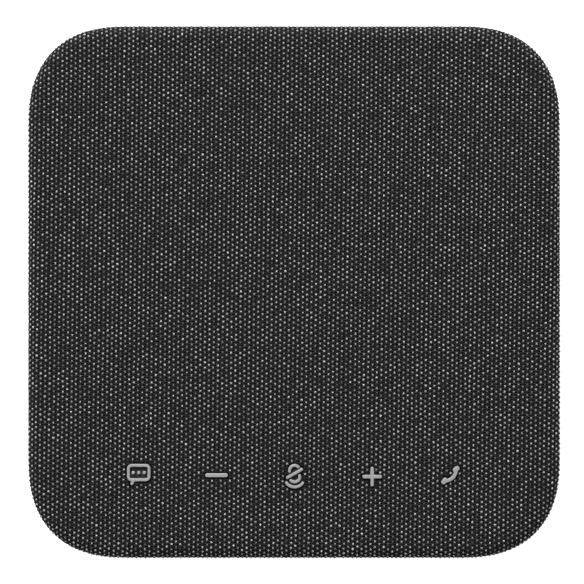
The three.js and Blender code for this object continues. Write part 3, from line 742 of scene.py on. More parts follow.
@dataclass(frozen=True)
class Plan:
    """The rounded-square plan that the skin, the shells and the foot share, in millimetres."""

    half: float  # half of the body's side at its widest
    reach: float = 19.25  # how far each corner curve runs along a side
    power: float = 2.47  # superellipse exponent of the corner curve
    steps: int = 40  # points round each corner

    def ring(self, inset: float) -> np.ndarray:
        """The outline that lies that far inside the widest one, counterclockwise.

        Args:
            inset: Distance inside the widest outline.

        Returns:
            An array of plan points.
        """
        angles = np.linspace(0, math.pi / 2, self.steps + 1)
        share = 2 / self.power
        start = self.half - self.reach
        corner = np.column_stack([np.cos(angles).clip(0) ** share, np.sin(angles).clip(0) ** share])
        corner = start + (self.reach - inset) * corner
        quarter = np.array([[0, 1], [-1, 0]])
        rings = [corner @ np.linalg.matrix_power(quarter, k) for k in range(4)]
        return np.vstack(rings)

    def stack(self, sections: list[tuple[float, float]], closed: bool = False) -> Body:
        """Skins outlines at (inset, z) sections that rise on the outside."""
        return loft([raised(self.ring(inset), z) for inset, z in sections], closed)


class Extent:
    """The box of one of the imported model's nodes, in millimetres."""

    def __init__(self, node: str) -> None:
        """Reads the node's lowest and highest corner.

        Args:
            node: The node's name.
        """
        low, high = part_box(node)
        self.low = np.array(low) / MM
        self.high = np.array(high) / MM
        self.middle = (self.low + self.high) / 2
        self.radius = (self.high - self.low)[0] / 2


# ---------------------------------------------------------------- keys and their symbols


Path = list[tuple[float, float]]


def arc(x: float, y: float, radius: float, start: float, end: float, steps: int = 20) -> Path:
    """Points along an arc, with its angles in degrees."""
    angles = np.radians(np.linspace(start, end, steps + 1))
    return [(x + radius * math.cos(a), y + radius * math.sin(a)) for a in angles]


def stroke(path: Path, half: float, caps: int = 10) -> np.ndarray:
    """The outline of a line along a path, with round ends, counterclockwise.

    Args:
        path: The line's points.
        half: Half of the line's width.
        caps: Steps round each end.

    Returns:
        An array of plan points.
    """
    points = np.array(path)
    ahead = np.vstack([points[1:], points[-1:]]) - np.vstack([points[:1], points[:-1]])
    ahead /= np.linalg.norm(ahead, axis=1)[:, None]
    left = np.column_stack([-ahead[:, 1], ahead[:, 0]])
    turns = np.linspace(0, math.pi, caps + 1)[1:-1, None]
    far = points[-1] + half * (left[-1] * np.cos(turns) + ahead[-1] * np.sin(turns))
    near = points[0] - half * (left[0] * np.cos(turns) + ahead[0] * np.sin(turns))
    return np.vstack([points + half * left, far, (points - half * left)[::-1], near])[::-1]


def rounded_square(width: float, depth: float, corner: float, y: float, steps: int = 8) -> np.ndarray:
    """The outline of a rectangle with round corners, counterclockwise.

    Args:
        width: Its size along X.
        depth: Its size along Y.
        corner: The corners' radius.
        y: Where its middle lies on Y.
        steps: Points round each corner, less one.

    Returns:
        An array of plan points.
    """
    angles = np.radians(np.linspace(0, 90, steps + 1))
    quarter = np.column_stack([np.cos(angles), np.sin(angles)]) * corner
    sides = []
    for turn, (sx, sy) in enumerate([(1, 1), (-1, 1), (-1, -1), (1, -1)]):
        c, s = round(math.cos(turn * math.pi / 2)), round(math.sin(turn * math.pi / 2))
        centre = np.array([sx * (width / 2 - corner), sy * (depth / 2 - corner) + y])
        sides.append(quarter @ np.array([[c, s], [-s, c]]) + centre)
    return np.vstack(sides)


@dataclass(frozen=True)
class Symbol:
    """One key's symbol in plan, in millimetres from the key's middle."""

    strokes: list[tuple[Path, float]]  # raised lines and their half widths
    web: list[tuple[Path, float]] = field(default_factory=list)  # thin web between them
    bubble: tuple[float, float, float, float] | None = None  # width, depth, corner, middle
    rim: float = 0.55  # width of the bubble's raised edge
    shift: tuple[float, float] = (0.0, 0.0)  # how far the symbol sits off its key's middle

    def windows(self, grow: float) -> list[np.ndarray]:
        """Outlines of what the symbol needs cut out of the skin, grown all round.

        Args:
            grow: Distance round the symbol.

        Returns:
            Outlines in plan, from the key's middle.
        """
        found = [stroke(path, half + grow) for path, half in [*self.strokes, *self.web]]
        if self.bubble:
            width, depth, corner, y = self.bubble
            found.append(rounded_square(width + 2 * grow, depth + 2 * grow, corner + grow, y))
        return found

    def covers(self, points: np.ndarray, grow: float) -> np.ndarray:
        """Which points lie on the symbol or within that distance of it.

        Args:
            points: Plan points, from the key's middle.
            grow: Distance round the symbol.

        Returns:
            True for each point that the symbol covers.
        """
        found = np.zeros(len(points), bool)
        for path, half in [*self.strokes, *self.web]:
            for start, end in zip(np.array(path[:-1]), np.array(path[1:])):
                span = end - start
                share = ((points - start) @ span / (span @ span)).clip(0, 1)
                found |= np.linalg.norm(points - start - share[:, None] * span, axis=1) < half + grow
        if self.bubble:
            width, depth, _, y = self.bubble
            away = np.abs(points - (0, y)) - np.array([width, depth]) / 2
            found |= away.max(axis=1) < grow
        return found


SYMBOLS = {
    "join": Symbol(
        strokes=[([(-1, -1.1), (-1.3, -1.7)], 0.3)]
        + [([(x - 0.02, 0.4), (x + 0.02, 0.4)], 0.31) for x in (-1.05, 0, 1.05)],
        bubble=(4.5, 3.3, 0.9, 0.4),
        shift=(0.35, 0.4),
    ),
    "volume_down": Symbol(strokes=[([(-1.79, 0), (1.79, 0)], 0.38)], shift=(0.2, 0.3)),
    "mute": Symbol(
        strokes=[
            ([(-1.37, -0.25), (1.36, 1.32)], 0.28),
            (arc(0, 1.1, 0.98, 190, 45), 0.28),
            (arc(0, -0.1, 0.98, 13, -135), 0.28),
            (arc(0, -0.1, 1.95, -38, -144), 0.28),
        ],
        web=[([(0, 1.1), (0, -0.1)], 1.2), (arc(0, -0.1, 1.45, -36, -144), 0.55)],
        shift=(0.12, 0.1),
    ),
    "volume_up": Symbol(
        strokes=[([(-1.54, 0), (1.54, 0)], 0.34), ([(0, -1.54), (0, 1.54)], 0.34)],
        shift=(-0.07, 0.03),
    ),
    "call": Symbol(
        strokes=[
            (arc(-1.13, 1.13, 2.25, -90, 0), 0.33),
            ([(1.31, 1.31), (0.92, 1.0)], 0.46),
            ([(-1.31, -1.31), (-1.0, -0.92)], 0.46),
        ],
        shift=(-0.14, 0.31),
    ),
}


@dataclass
class Keys:
    """The five key symbols, moulded in light grey with softly rounded edges, each on its key cap."""

    gap: float = 0.28  # between a symbol and the skin round it
    edge: float = 0.13  # rounding of a symbol's top edge
    web: float = 0.4  # thickness of the web between strokes
    step: float = 0.05  # between one body's underside and the next one's, so that no two coincide
    places: dict[str, tuple[float, float]] = field(default_factory=dict)

    def __post_init__(self) -> None:
        """Reads each key's middle from its cap."""
        for name in SYMBOLS:
            self.places[name] = tuple(Extent(f"key_{name}").middle[:2] + SYMBOLS[name].shift)

    def line(self, path: Path, half: float, low: float, high: float) -> Body:
        """A raised line along a path, with a rounded top edge.

        Args:
            path: The line's points in plan.
            half: Half of its width.
            low: Its underside.
            high: Its top.

        Returns:
            The closed body.
        """
        rings = [raised(stroke(path, half), low)]
        rings += [raised(stroke(path, half - inward), high - drop) for inward, drop in rounding(self.edge)]
        return loft(rings)

    def bubble(self, symbol: Symbol, low: float, high: float) -> Body:
        """A symbol's bubble: a thin floor with a raised edge round it.

        Args:
            symbol: The symbol that it belongs to.
            low: Its underside.
            high: The top of its edge.

        Returns:
            The closed body.
        """
        width, depth, corner, y = symbol.bubble
        over = [(inward, high - drop) for inward, drop in rounding(self.edge)]
        inner = [(symbol.rim - inward, z) for inward, z in reversed(over)]
        rings = []
        for inward, z in [(0, low), *over, *inner, (symbol.rim, low + self.web)]:
            outline = rounded_square(width - 2 * inward, depth - 2 * inward, corner - inward, y)
            rings.append(raised(outline, z))
        return loft(rings)

    def symbol(self, name: str) -> bpy.types.Object:
        """Makes one symbol where its key is.

        Args:
            name: The key's name.

        Returns:
            The symbol, as one body.
        """
        symbol = SYMBOLS[name]
        box = Extent(f"symbol_{name}")
        low, high = box.low[2], box.high[2]
        foot = low + (2 * self.step if symbol.web or symbol.bubble else 0)
        bodies = [self.line(path, half, foot, high) for path, half in symbol.strokes]
        for index, (path, half) in enumerate(symbol.web):
            drop = index * self.step
            bodies.append(prism(stroke(path, half), low + drop, low + self.web - drop))
        if symbol.bubble:
            bodies.append(self.bubble(symbol, low, high))
        bodies = [body.moved(*self.places[name]) for body in bodies]
        made = bodies[0].as_object(f"symbol_{name}_moulded")
        for body in bodies[1:]:
            carve(made, [body], "UNION")
        return made

    def build(self, wardrobe: Wardrobe) -> None:
        """Makes and dresses every symbol: light strokes, and a dark web that keeps out of sight.

        Args:
            wardrobe: Holds the finishes.
        """
        for name in SYMBOLS:
            made = wardrobe.dress(self.symbol(name), Slot.SYMBOL_PLASTIC)
            made.data.materials.append(wardrobe.material(Slot.DARK_PLASTIC))
            above_web = Extent(f"symbol_{name}").low[2] + self.web + WHISKER
            for face in made.data.polygons:
                highest = max(made.data.vertices[corner].co.z for corner in face.vertices)
                face.material_index = int(highest < above_web * MM)
            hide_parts(f"symbol_{name}")
            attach(made, f"{name}_key")
            LOG.info("symbol %s: %d faces", name, len(made.data.polygons))


# ---------------------------------------------------------------- woven skin


@dataclass
class Skin:
    """The woven skin: stretched over the top, rolled over its edge, down the sides and folded in below."""

    plan: Plan
    keys: Keys
    thickness: float = 0.8
    roll: float = 2.5  # radius of the top edge
    lean: float = 2.0  # how far each side comes in on its way down
    tuck: float = 3.0  # width of the hem folded in
    fold: float = 0.45  # radius of the hem's fold
    column: float = 0.8448  # from one column of floats to the next
    pitch: float = 0.9796  # from one float to the next in a column
    skew: float = -0.7  # how far the weave lies off the sides' direction, degrees
    float_size: tuple[float, float, float] = (0.22, 0.25, 0.17)  # half width, half length, half height
    tilt: float = 32.0  # how far a float may turn out of line, degrees
    spread: float = 0.2  # by what share a float's sizes vary
    stray: float = 0.035  # how far a float lies off its place
    shades: tuple[float, float] = (1.9, 2.2)  # of the beta law that the floats' shades are drawn from
    bare: float = 0.12  # from a symbol's window to the nearest floats
    fold_steps: int = 5
    wall_steps: int = 6
    roll_steps: int = 14
    brim: tuple[float, float] = (0.15, 0.5)  # how far in the rings lie that start the flat top
    seed: int = 11

    def __post_init__(self) -> None:
        """Reads the skin's heights from its node, and lays out its section."""
        box = Extent("fabric_cover")
        self.low = float(box.low[2])
        self.top = float(box.high[2])
        self.outside = self.outer_sections()
        self.inside = self.inner_sections()
        c, s = math.cos(math.radians(self.skew)), math.sin(math.radians(self.skew))
        self.turn = np.array([[c, -s], [s, c]])

    def outer_sections(self) -> list[tuple[float, float]]:
        """The outer face as (inset, z), from the hem's inner edge out, up and over the top edge.

        Returns:
            The sections in order.
        """
        shoulder = self.top - self.roll
        hem = self.lean + self.tuck
        fold = [
            (self.lean + self.fold * (1 - math.sin(a)), self.low + self.fold * (1 - math.cos(a)))
            for a in np.linspace(0, math.pi / 2, self.fold_steps + 1)
        ]
        foot = self.low + self.fold
        steps = self.wall_steps
        wall = [
            (self.lean * (1 - k / steps), foot + (shoulder - foot) * k / steps) for k in range(1, steps)
        ]
        over = [(inward, self.top - drop) for inward, drop in rounding(self.roll, self.roll_steps)]
        flat = [(self.roll + inward, self.top) for inward in self.brim]
        return [(hem, self.low), *fold, *wall, *over, *flat]

    def inner_sections(self) -> list[tuple[float, float]]:
        """The inner face as (inset, z), from under the top down to the hem's inner edge.

        Returns:
            The sections in order.
        """
        under = self.top - self.thickness
        radius = self.roll - self.thickness
        hem = self.low + self.thickness
        over = [(self.thickness + inward, under - drop) for inward, drop in rounding(radius, 6)]
        return [*reversed(over), (self.thickness + self.lean, hem), (self.lean + self.tuck, hem)]

    def lengths(self) -> np.ndarray:
        """Distance over the outer face from the flat top out to each outer section."""
        steps = np.linalg.norm(np.diff(np.array(self.outside[::-1]), axis=0), axis=1)
        return np.concatenate([[0], np.cumsum(steps)])[::-1] - self.flat_length()

    def flat_length(self) -> float:
        """How far the outer face's last sections run over the flat top."""
        return self.outside[-1][0] - self.roll

    def base(self) -> tuple[np.ndarray, np.ndarray]:
        """Where the top edge starts to roll, and the outward directions there.

        Returns:
            The outline's points, and a direction of length 1 for each.
        """
        ring = self.plan.ring(self.roll)
        along = np.roll(ring, -1, axis=0) - np.roll(ring, 1, axis=0)
        along /= np.linalg.norm(along, axis=1)[:, None]
        return ring, np.column_stack([along[:, 1], -along[:, 0]])

    def cover(self) -> bpy.types.Object:
        """Makes the ground cloth, with a window for each symbol and a map of its weave.

        Returns:
            The skin's object.
        """
        body = self.plan.stack([*self.inside, *self.outside])
        made = body.as_object("woven_skin", sharp=55)
        ring, outward = self.base()
        unrolled = [ring for _ in self.inside]
        unrolled += [ring + outward * length for length in self.lengths()]
        places = np.vstack(unrolled) @ self.turn
        write_map(made.data, "weave", places[corners_of(made.data)])
        tools = []
        for name, (x, y) in self.keys.places.items():
            for outline in SYMBOLS[name].windows(self.keys.gap):
                window = prism(outline, self.top - self.thickness - 1, self.top + 1)
                tools.append(window.moved(x, y))
        carve(made, tools)
        self.map_top(made)
        return made

    def map_top(self, piece: bpy.types.Object) -> None:
        """Maps the flat top and the windows' walls straight down, once the windows are cut.

        Args:
            piece: The skin's object.
        """
        mesh = piece.data
        spots = vectors(mesh.vertices, "co")[corners_of(mesh)] / MM
        within = np.abs(spots[:, :2]).max(axis=1) < self.plan.half - self.roll - 1
        flat = within & (spots[:, 2] > self.top - self.thickness - WHISKER)
        places = vectors(mesh.uv_layers["weave"].uv, "vector", 2)
        places[flat] = spots[flat, :2] @ self.turn
        write_map(mesh, "weave", places)

    def on_surface(self, plan: np.ndarray) -> np.ndarray:
        """Lays places of the unrolled skin on its outer face.

        Args:
            plan: Places on the skin as if it were unrolled flat from its top.

        Returns:
            The points in space.
        """
        ring, _ = self.base()
        ends = np.roll(ring, -1, axis=0)
        spans = ends - ring
        reach = plan[:, None, :] - ring[None]
        share = (reach * spans).sum(-1) / (spans**2).sum(-1)
        share = share.clip(0, 1)
        away = np.linalg.norm(reach - share[..., None] * spans, axis=-1)
        nearest = away.argmin(axis=1)
        rows = np.arange(len(plan))
        share, away = share[rows, nearest], away[rows, nearest]
        following = (nearest + 1) % len(ring)
        rings = np.array([raised(self.plan.ring(inset), z) for inset, z in self.outside[::-1]])
        lengths = self.lengths()[::-1]
        level = np.searchsorted(lengths, away, side="right").clip(1, len(lengths) - 1)
        between = ((away - lengths[level - 1]) / (lengths[level] - lengths[level - 1])).clip(0, 1)

        def at(upper: np.ndarray) -> np.ndarray:
            """The points on one section of the face."""
            mix = share[:, None]
            return rings[upper, nearest] * (1 - mix) + rings[upper, following] * mix

        found = at(level - 1) * (1 - between[:, None]) + at(level) * between[:, None]
        crossed = (plan[:, None, 0] - ring[None, :, 0]) * spans[None, :, 1]
        crossed -= (plan[:, None, 1] - ring[None, :, 1]) * spans[None, :, 0]
        inner = (crossed < 0).all(axis=1)
        found[inner] = raised(plan[inner], self.top)
        return found

    def lattice(self) -> tuple[np.ndarray, np.ndarray]:
        """Where the light yarn floats: a brick-like lattice over the whole unrolled skin.

        Returns:
            The places on the unrolled skin, and which of them lie beyond its flat top.
        """
        drop = self.lengths()[self.fold_steps + 1]
        reach = self.plan.half + drop
        columns, rows = [
            np.arange(-int(reach / step) - 1, int(reach / step) + 2) for step in (self.column, self.pitch)
        ]
        grid = [[c * self.column, (r + (c % 2) / 2) * self.pitch] for c in columns for r in rows]
        rng = np.random.default_rng(self.seed)
        spots = np.array(grid) + rng.normal(0, self.stray, (len(grid), 2))
        plan = spots @ self.turn.T
        ring, _ = self.base()
        spans = np.roll(ring, -1, axis=0) - ring
        away = np.full(len(plan), -np.inf)
        for start, span in zip(ring, spans):
            side = (plan - start) @ np.array([span[1], -span[0]]) / np.linalg.norm(span)
            away = np.maximum(away, side)
        outer = away > 0
        reachable = away < drop - self.column / 3
        plan, outer = plan[reachable], outer[reachable]
        clear = np.ones(len(plan), bool)
        for name, middle in self.keys.places.items():
            clear &= ~SYMBOLS[name].covers(plan - np.array(middle), self.keys.gap + self.bare)
        return plan[clear], outer[clear]

    def float_tree(self) -> bpy.types.NodeTree:
        """Builds the tree that lays one small pillow of yarn over each point.

        Returns:
            A geometry node tree with named inputs for the pillow's size, its spread and its seed.
        """
        tree = bpy.data.node_groups.new("yarn floats", "GeometryNodeTree")
        face = tree.interface
        face.new_socket("Geometry", in_out="INPUT", socket_type="NodeSocketGeometry")
        for name in ("Half width", "Half length", "Half height", "Tilt", "Spread"):
            face.new_socket(name, in_out="INPUT", socket_type="NodeSocketFloat")
        face.new_socket("Seed", in_out="INPUT", socket_type="NodeSocketInt")
        face.new_socket("Yarn", in_out="INPUT", socket_type="NodeSocketMaterial")
        face.new_socket("Geometry", in_out="OUTPUT", socket_type="NodeSocketGeometry")
        given = add_node(tree, "NodeGroupInput").outputs
        pillow = add_node(tree, "GeometryNodeMeshIcoSphere", {"Radius": 1.0, "Subdivisions": 1})
        position = add_node(tree, "GeometryNodeInputPosition")
        marked = add_node(
            tree, "GeometryNodeStoreNamedAttribute",
            {"Geometry": pillow.outputs["Mesh"], "Name": "local", "Value": position.outputs[0]},
            data_type="FLOAT_VECTOR", domain="POINT",
        )
        directions = [
            add_node(
                tree, "GeometryNodeInputNamedAttribute", {"Name": name}, data_type="FLOAT_VECTOR"
            ).outputs["Attribute"]
            for name in ("upward", "along")
        ]
        laid = add_node(
            tree, "FunctionNodeAxesToRotation",
            {0: directions[0], 1: directions[1]}, primary_axis="Z", secondary_axis="Y",
        )
        seeds = [
            add_node(tree, "ShaderNodeMath", {0: given["Seed"], 1: float(k)}, operation="ADD").outputs[0]
            for k in range(4)
        ]
        least = add_node(tree, "ShaderNodeMath", {0: given["Tilt"], 1: -1.0}, operation="MULTIPLY")
        swing = add_node(
            tree, "FunctionNodeRandomValue",
            {2: least.outputs[0], 3: given["Tilt"], "Seed": seeds[0]}, data_type="FLOAT",
        )
        spin = add_node(tree, "FunctionNodeAxisAngleToRotation", {0: (0, 0, 1), 1: swing.outputs[1]})
        turned = add_node(
            tree, "FunctionNodeRotateRotation", {0: laid.outputs[0], 1: spin.outputs[0]},
            rotation_space="LOCAL",
        )
        low = add_node(tree, "ShaderNodeMath", {0: 1.0, 1: given["Spread"]}, operation="SUBTRACT")
        high = add_node(tree, "ShaderNodeMath", {0: 1.0, 1: given["Spread"]}, operation="ADD")
        sizes = []
        for name, seed in zip(("Half width", "Half length", "Half height"), seeds[1:]):
            share = add_node(
                tree, "FunctionNodeRandomValue",
                {2: low.outputs[0], 3: high.outputs[0], "Seed": seed}, data_type="FLOAT",
            )
            sizes.append(
                add_node(
                    tree, "ShaderNodeMath", {0: given[name], 1: share.outputs[1]}, operation="MULTIPLY"
                ).outputs[0]
            )
        scale = add_node(tree, "ShaderNodeCombineXYZ", {0: sizes[0], 1: sizes[1], 2: sizes[2]})
        placed = add_node(
            tree, "GeometryNodeInstanceOnPoints",
            {
                "Points": given["Geometry"], "Instance": marked.outputs["Geometry"],
                "Rotation": turned.outputs[0], "Scale": scale.outputs[0],
            },
        )
        real = add_node(tree, "GeometryNodeRealizeInstances", {"Geometry": placed.outputs[0]})
        dressed = add_node(
            tree, "GeometryNodeSetMaterial", {"Geometry": real.outputs[0], "Material": given["Yarn"]}
        )
        add_node(tree, "NodeGroupOutput", {"Geometry": dressed.outputs[0]})
        return tree

    def floats(
        self, name: str, plan: np.ndarray, tree: bpy.types.NodeTree, yarn: bpy.types.Material, seed: int
    ) -> bpy.types.Object:
        """Lays the light yarn's floats over part of the skin.

        Args:
            name: The new object's name.
            plan: Where they lie on the unrolled skin.
            tree: The tree that lays a pillow over each point.
            yarn: The light yarn's material.
            seed: What the pillows' tilts and sizes, and the shades, are drawn from.

        Returns:
            The floats, as one plain mesh.
        """
        step = 0.02  # over which the skin's directions are measured
        spots = self.on_surface(plan)
        across = self.on_surface(plan + (step, 0)) - spots
        along = self.on_surface(plan + (0, step)) - spots
        upward = np.cross(across, along)
        upward /= np.linalg.norm(upward, axis=1)[:, None]
        mesh = bpy.data.meshes.new(name)
        mesh.from_pydata((spots * MM).tolist(), [], [])
        shade = np.random.default_rng(seed).beta(*self.shades, len(plan))
        for title, values, kind, key in (
            ("upward", upward, "FLOAT_VECTOR", "vector"),
            ("along", along, "FLOAT_VECTOR", "vector"),
            ("unrolled", raised(plan, 0), "FLOAT_VECTOR", "vector"),
            ("shade", shade, "FLOAT", "value"),
        ):
            layer = mesh.attributes.new(title, kind, "POINT")
            layer.data.foreach_set(key, values.astype(np.float32).ravel())
        made = bpy.data.objects.new(name, mesh)
        bpy.context.scene.collection.objects.link(made)
        modifier = made.modifiers.new("floats", "NODES")
        modifier.node_group = tree
        width, length, height = [size * MM for size in self.float_size]
        given = {
            "Half width": width, "Half length": length, "Half height": height,
            "Tilt": math.radians(self.tilt), "Spread": self.spread, "Seed": seed, "Yarn": yarn,
        }
        for item in tree.interface.items_tree:
            if item.name in given:
                modifier[item.identifier] = given[item.name]
        settle(made)
        made.data.shade_smooth()
        self.map_floats(made)
        return made

    def map_floats(self, piece: bpy.types.Object) -> None:
        """Gives the floats a map that is the skin unrolled, so that each float has a place of its own.

        Args:
            piece: The floats' object.
        """
        mesh = piece.data
        middle, local = [
            vectors(mesh.attributes[title].data, "vector")[:, :2] for title in ("unrolled", "local")
        ]
        extent = 2 * (self.plan.half + self.lengths()[0])
        places = (middle + local * np.array(self.float_size[:2])) / extent + 0.5
        write_map(mesh, "OFBake", places[corners_of(mesh)])
        for title in ("unrolled", "upward", "along"):
            mesh.attributes.remove(mesh.attributes[title])

    def build(self) -> None:
        cover = self.cover()
        cover.data.materials.append(WovenGround(self.column, self.pitch).build())
        yarn = MelangeYarn().build()
        tree = self.float_tree()
        plan, outer = self.lattice()
        left = plan[:, 0] < 0
        parts = {
            "yarn_floats_top_left": plan[~outer & left],
            "yarn_floats_top_right": plan[~outer & ~left],
            "yarn_floats_sides": plan[outer],
        }
        for number, (name, spots) in enumerate(parts.items()):
            piece = self.floats(name, spots, tree, yarn, self.seed + 10 * number)
            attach(piece, "housing")
            LOG.info("%s: %d floats, %d faces", name, len(spots), len(piece.data.polygons))
        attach(cover, "housing")
        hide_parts("fabric_cover")
        side, area = self.flat_size()
        LOG.info("skin: %d faces, cut %.1f mm square, %.0f mm2", len(cover.data.polygons), side, area)

    def flat_size(self) -> tuple[float, float]:
        """The side and the area of the flat cut that the skin is stretched from, corners trimmed round.

        Returns:
            The side in millimetres, and the area in square millimetres.
        """
        drop = self.lengths()[0]
        side = 2 * (self.plan.half - self.roll + drop)
        ring, _ = self.base()
        following = np.roll(ring, -1, axis=0)
        inner = abs((ring[:, 0] * following[:, 1] - ring[:, 1] * following[:, 0]).sum()) / 2
        round_length = np.linalg.norm(following - ring, axis=1).sum()
        return side, inner + round_length * drop


# ---------------------------------------------------------------- lower housing


@dataclass
class LowerHousing:
    """The lower shell with its spool, the foot plate, the rubber ring under it and the lead's gland."""

    plan: Plan
    wall: float = 2.0
    hem: float = 3.0  # width of the skin's hem, which the locating rim stands inside
    gap: float = 0.2
    rim: float = 1.2
    chamfer: float = 0.8
    edge: float = 0.3  # rounding of moulded edges
    ring_inset: float = 8.0
    ring_width: float = 6.0
    spool_inset: float = 12.0
    boss: float = 3.05  # radius of a case screw's boss
    pilot: float = 1.25  # radius of the hole in it
    hook_place: tuple[float, float] = (33.0, 14.0)  # of each snap hook, across and along
    hook_size: tuple[float, float] = (1.4, 6.0)
    hook_play: float = 0.4  # in the slot that a hook passes through
    barb: float = 0.8  # height of a hook's barb, and how far it stands out
    bore: float = 1.75  # radius of the lead's way through the gland
    collar: float = 1.2  # length of the gland's collar inside
    throat: float = 0.6  # from the collar's rim to the gland's neck
    cup: float = 1.4  # room round a microphone's boot
    tread: float = 0.35  # rounding of the rubber ring's tread

    def shell(self) -> bpy.types.Object:
        """The lower shell: flange, spool and locating rim, with its bosses, slots and holes.

        Returns:
            The piece, with its place in its mesh.
        """
        box = Extent("bottom_shell")
        widest = self.plan.half - box.high[0]
        base, rim_top = box.low[2], box.high[2]
        top = Extent("fabric_cover").low[2]
        under = top - self.wall
        floor = base + self.wall
        rim_inset = widest + self.hem + self.gap
        spool, well = self.spool_inset, self.spool_inset + self.wall
        e = self.edge
        sections = [
            (spool + e, base), (spool, base + e),
            (spool, under - 2 * e), (spool - e, under - e / 2), (spool - 2 * e, under),
            (widest + self.chamfer + e, under), (widest + self.chamfer, under + e / 4),
            (widest + e / 4, under + self.chamfer), (widest, under + self.chamfer + e),
            (widest, top - e), (widest + e / 3, top - e / 3), (widest + e, top),
            (rim_inset, top), (rim_inset, rim_top - e), (rim_inset + e, rim_top),
            (rim_inset + self.rim - e, rim_top), (rim_inset + self.rim, rim_top - e),
            (rim_inset + self.rim, top), (well - e, top), (well, top - e),
            (well, floor + 2 * e), (well + e, floor + e / 2), (well + 2 * e, floor),
        ]
        made = self.plan.stack(sections).as_object("bottom_shell_moulded")
        screws = [Extent(f"case_screw_{k}") for k in range(1, 5)]
        board = Extent("main_board").low[2]

        def columns(radius: float, steps: int, start: float, end: float) -> list[Body]:
            """A round column at each case screw, from one height to another."""
            return [prism(circle(radius, steps), start, end).moved(*screw.middle[:2]) for screw in screws]

        carve(made, columns(self.boss, 32, floor - 1, board), "UNION")
        holes = columns(self.pilot, 24, base - 1, board + 1)
        holes += columns(screws[0].radius + self.gap, 32, base - 1, floor)
        width, length = self.hook_size
        slot = rounded_square(width + self.hook_play, length + self.hook_play, 0.2, 0, 3)
        holes += [prism(slot, base - 1, floor + 1).moved(*place) for place in self.hook_places()]
        carve(made, holes)
        gland = Extent("cable_gland")
        y = self.plan.half - spool - self.wall / 2
        z = gland.middle[2]
        way = prism(circle(gland.radius - self.throat + self.gap, 32), -2 * self.wall, 2 * self.wall)
        seat = prism(circle(gland.radius + self.gap, 32), 0, self.collar + 3 * self.gap)
        tools = [way.turned(-90, "X").moved(0, y, z)]
        tools.append(seat.turned(-90, "X").moved(0, gland.low[1] - 2 * self.gap, z))
        for side in ("left", "right"):
            boot = Extent(f"microphone_boot_{side}")
            cup = prism(circle(boot.radius + self.cup, 40), boot.low[2] - self.gap, rim_top + 1)
            tools.append(cup.moved(*boot.middle[:2]))
        return carve(made, tools)

    def hook_places(self, out: float = 0.0) -> list[tuple[float, float]]:
        """Where the four snap hooks stand, or that much further out."""
        across, along = self.hook_place
        return [(side * (across + out), y) for side in (-1, 1) for y in (-along, along)]

    def foot(self) -> bpy.types.Object:
        """The foot plate, with the channel for its ring and four snap hooks.

        Returns:
            The piece, with its place in its mesh.
        """
        box = Extent("foot_plate")
        widest = self.plan.half - box.high[0]
        under, top, tips = box.low[2], Extent("bottom_shell").low[2], box.high[2]
        channel = Extent("rubber_foot").high[2]
        inner = self.ring_inset + self.ring_width + self.gap
        outer = self.ring_inset - self.gap
        bevel = (top - under) / 4
        e = self.edge / 2
        sections = [
            (inner + e, under), (inner, under + e), (inner, channel),
            (outer, channel), (outer, under + e), (outer - e, under),
            (widest + bevel + e, under), (widest + bevel - e / 2, under + e / 2),
            (widest + e / 2, under + bevel - e / 2), (widest, under + bevel + e),
            (widest, top - e), (widest + e, top),
        ]
        made = self.plan.stack(sections).as_object("foot_plate_moulded")
        width, length = self.hook_size
        stem, wide, tip = [
            rounded_square(width + more, length, 0.2, 0, 3) for more in (0, self.barb, 0.1)
        ]
        start = tips - self.barb
        barb = loft([raised(wide, start), raised(wide, start + self.edge), raised(tip, tips)])
        hooks = []
        for foot, tooth in zip(self.hook_places(), self.hook_places(self.barb / 2)):
            hooks.append(prism(stem, top - 0.6, tips).moved(*foot))
            hooks.append(barb.moved(*tooth))
        return carve(made, hooks, "UNION")

    def ring(self) -> bpy.types.Object:
        """The rubber ring that the body stands on, with a rounded tread and two shallow grooves.

        Returns:
            The piece, with its place in its mesh.
        """
        box = Extent("rubber_foot")
        outer, inner = self.ring_inset, self.ring_inset + self.ring_width
        drops = rounding(self.tread)
        floor, top = box.low[2], box.high[2]
        sections = [(inner - inward, floor + drop) for inward, drop in drops]
        third = self.ring_width / 3
        for middle in (inner - third, outer + third):
            sections += [
                (middle + 0.3, floor), (middle + 0.15, floor + 0.2),
                (middle - 0.15, floor + 0.2), (middle - 0.3, floor),
            ]
        sections += [(outer + inward, floor + drop) for inward, drop in reversed(drops)]
        sections += [(outer, top - 0.1), (outer + 0.1, top), (inner - 0.1, top), (inner, top - 0.1)]
        return self.plan.stack(sections, closed=True).as_object("rubber_foot_moulded", sharp=50)

    def gland(self) -> bpy.types.Object:
        """The rubber gland that the lead passes through, with a ribbed collar outside the spool.

        Returns:
            The piece, with its place in its mesh.
        """
        box = Extent("cable_gland")
        reach, neck = box.radius, box.radius - self.throat
        inner, outer = box.low[1], box.high[1]
        near, far = inner + self.collar, outer - self.collar
        profile = [
            (self.bore, inner), (reach - 0.1, inner), (reach, inner + 0.1), (reach, near),
            (neck, near), (neck, far), (reach, far), (reach, outer - 0.7),
            (reach - 0.15, outer - 0.6), (neck, outer - 0.1), (neck - 0.1, outer), (self.bore, outer),
        ]
        body = lathe([(radius, -along) for radius, along in reversed(profile)], 40, closed=True)
        body = body.turned(90, "X").moved(0, 0, box.middle[2])
        return body.as_object("cable_gland_moulded", sharp=50)

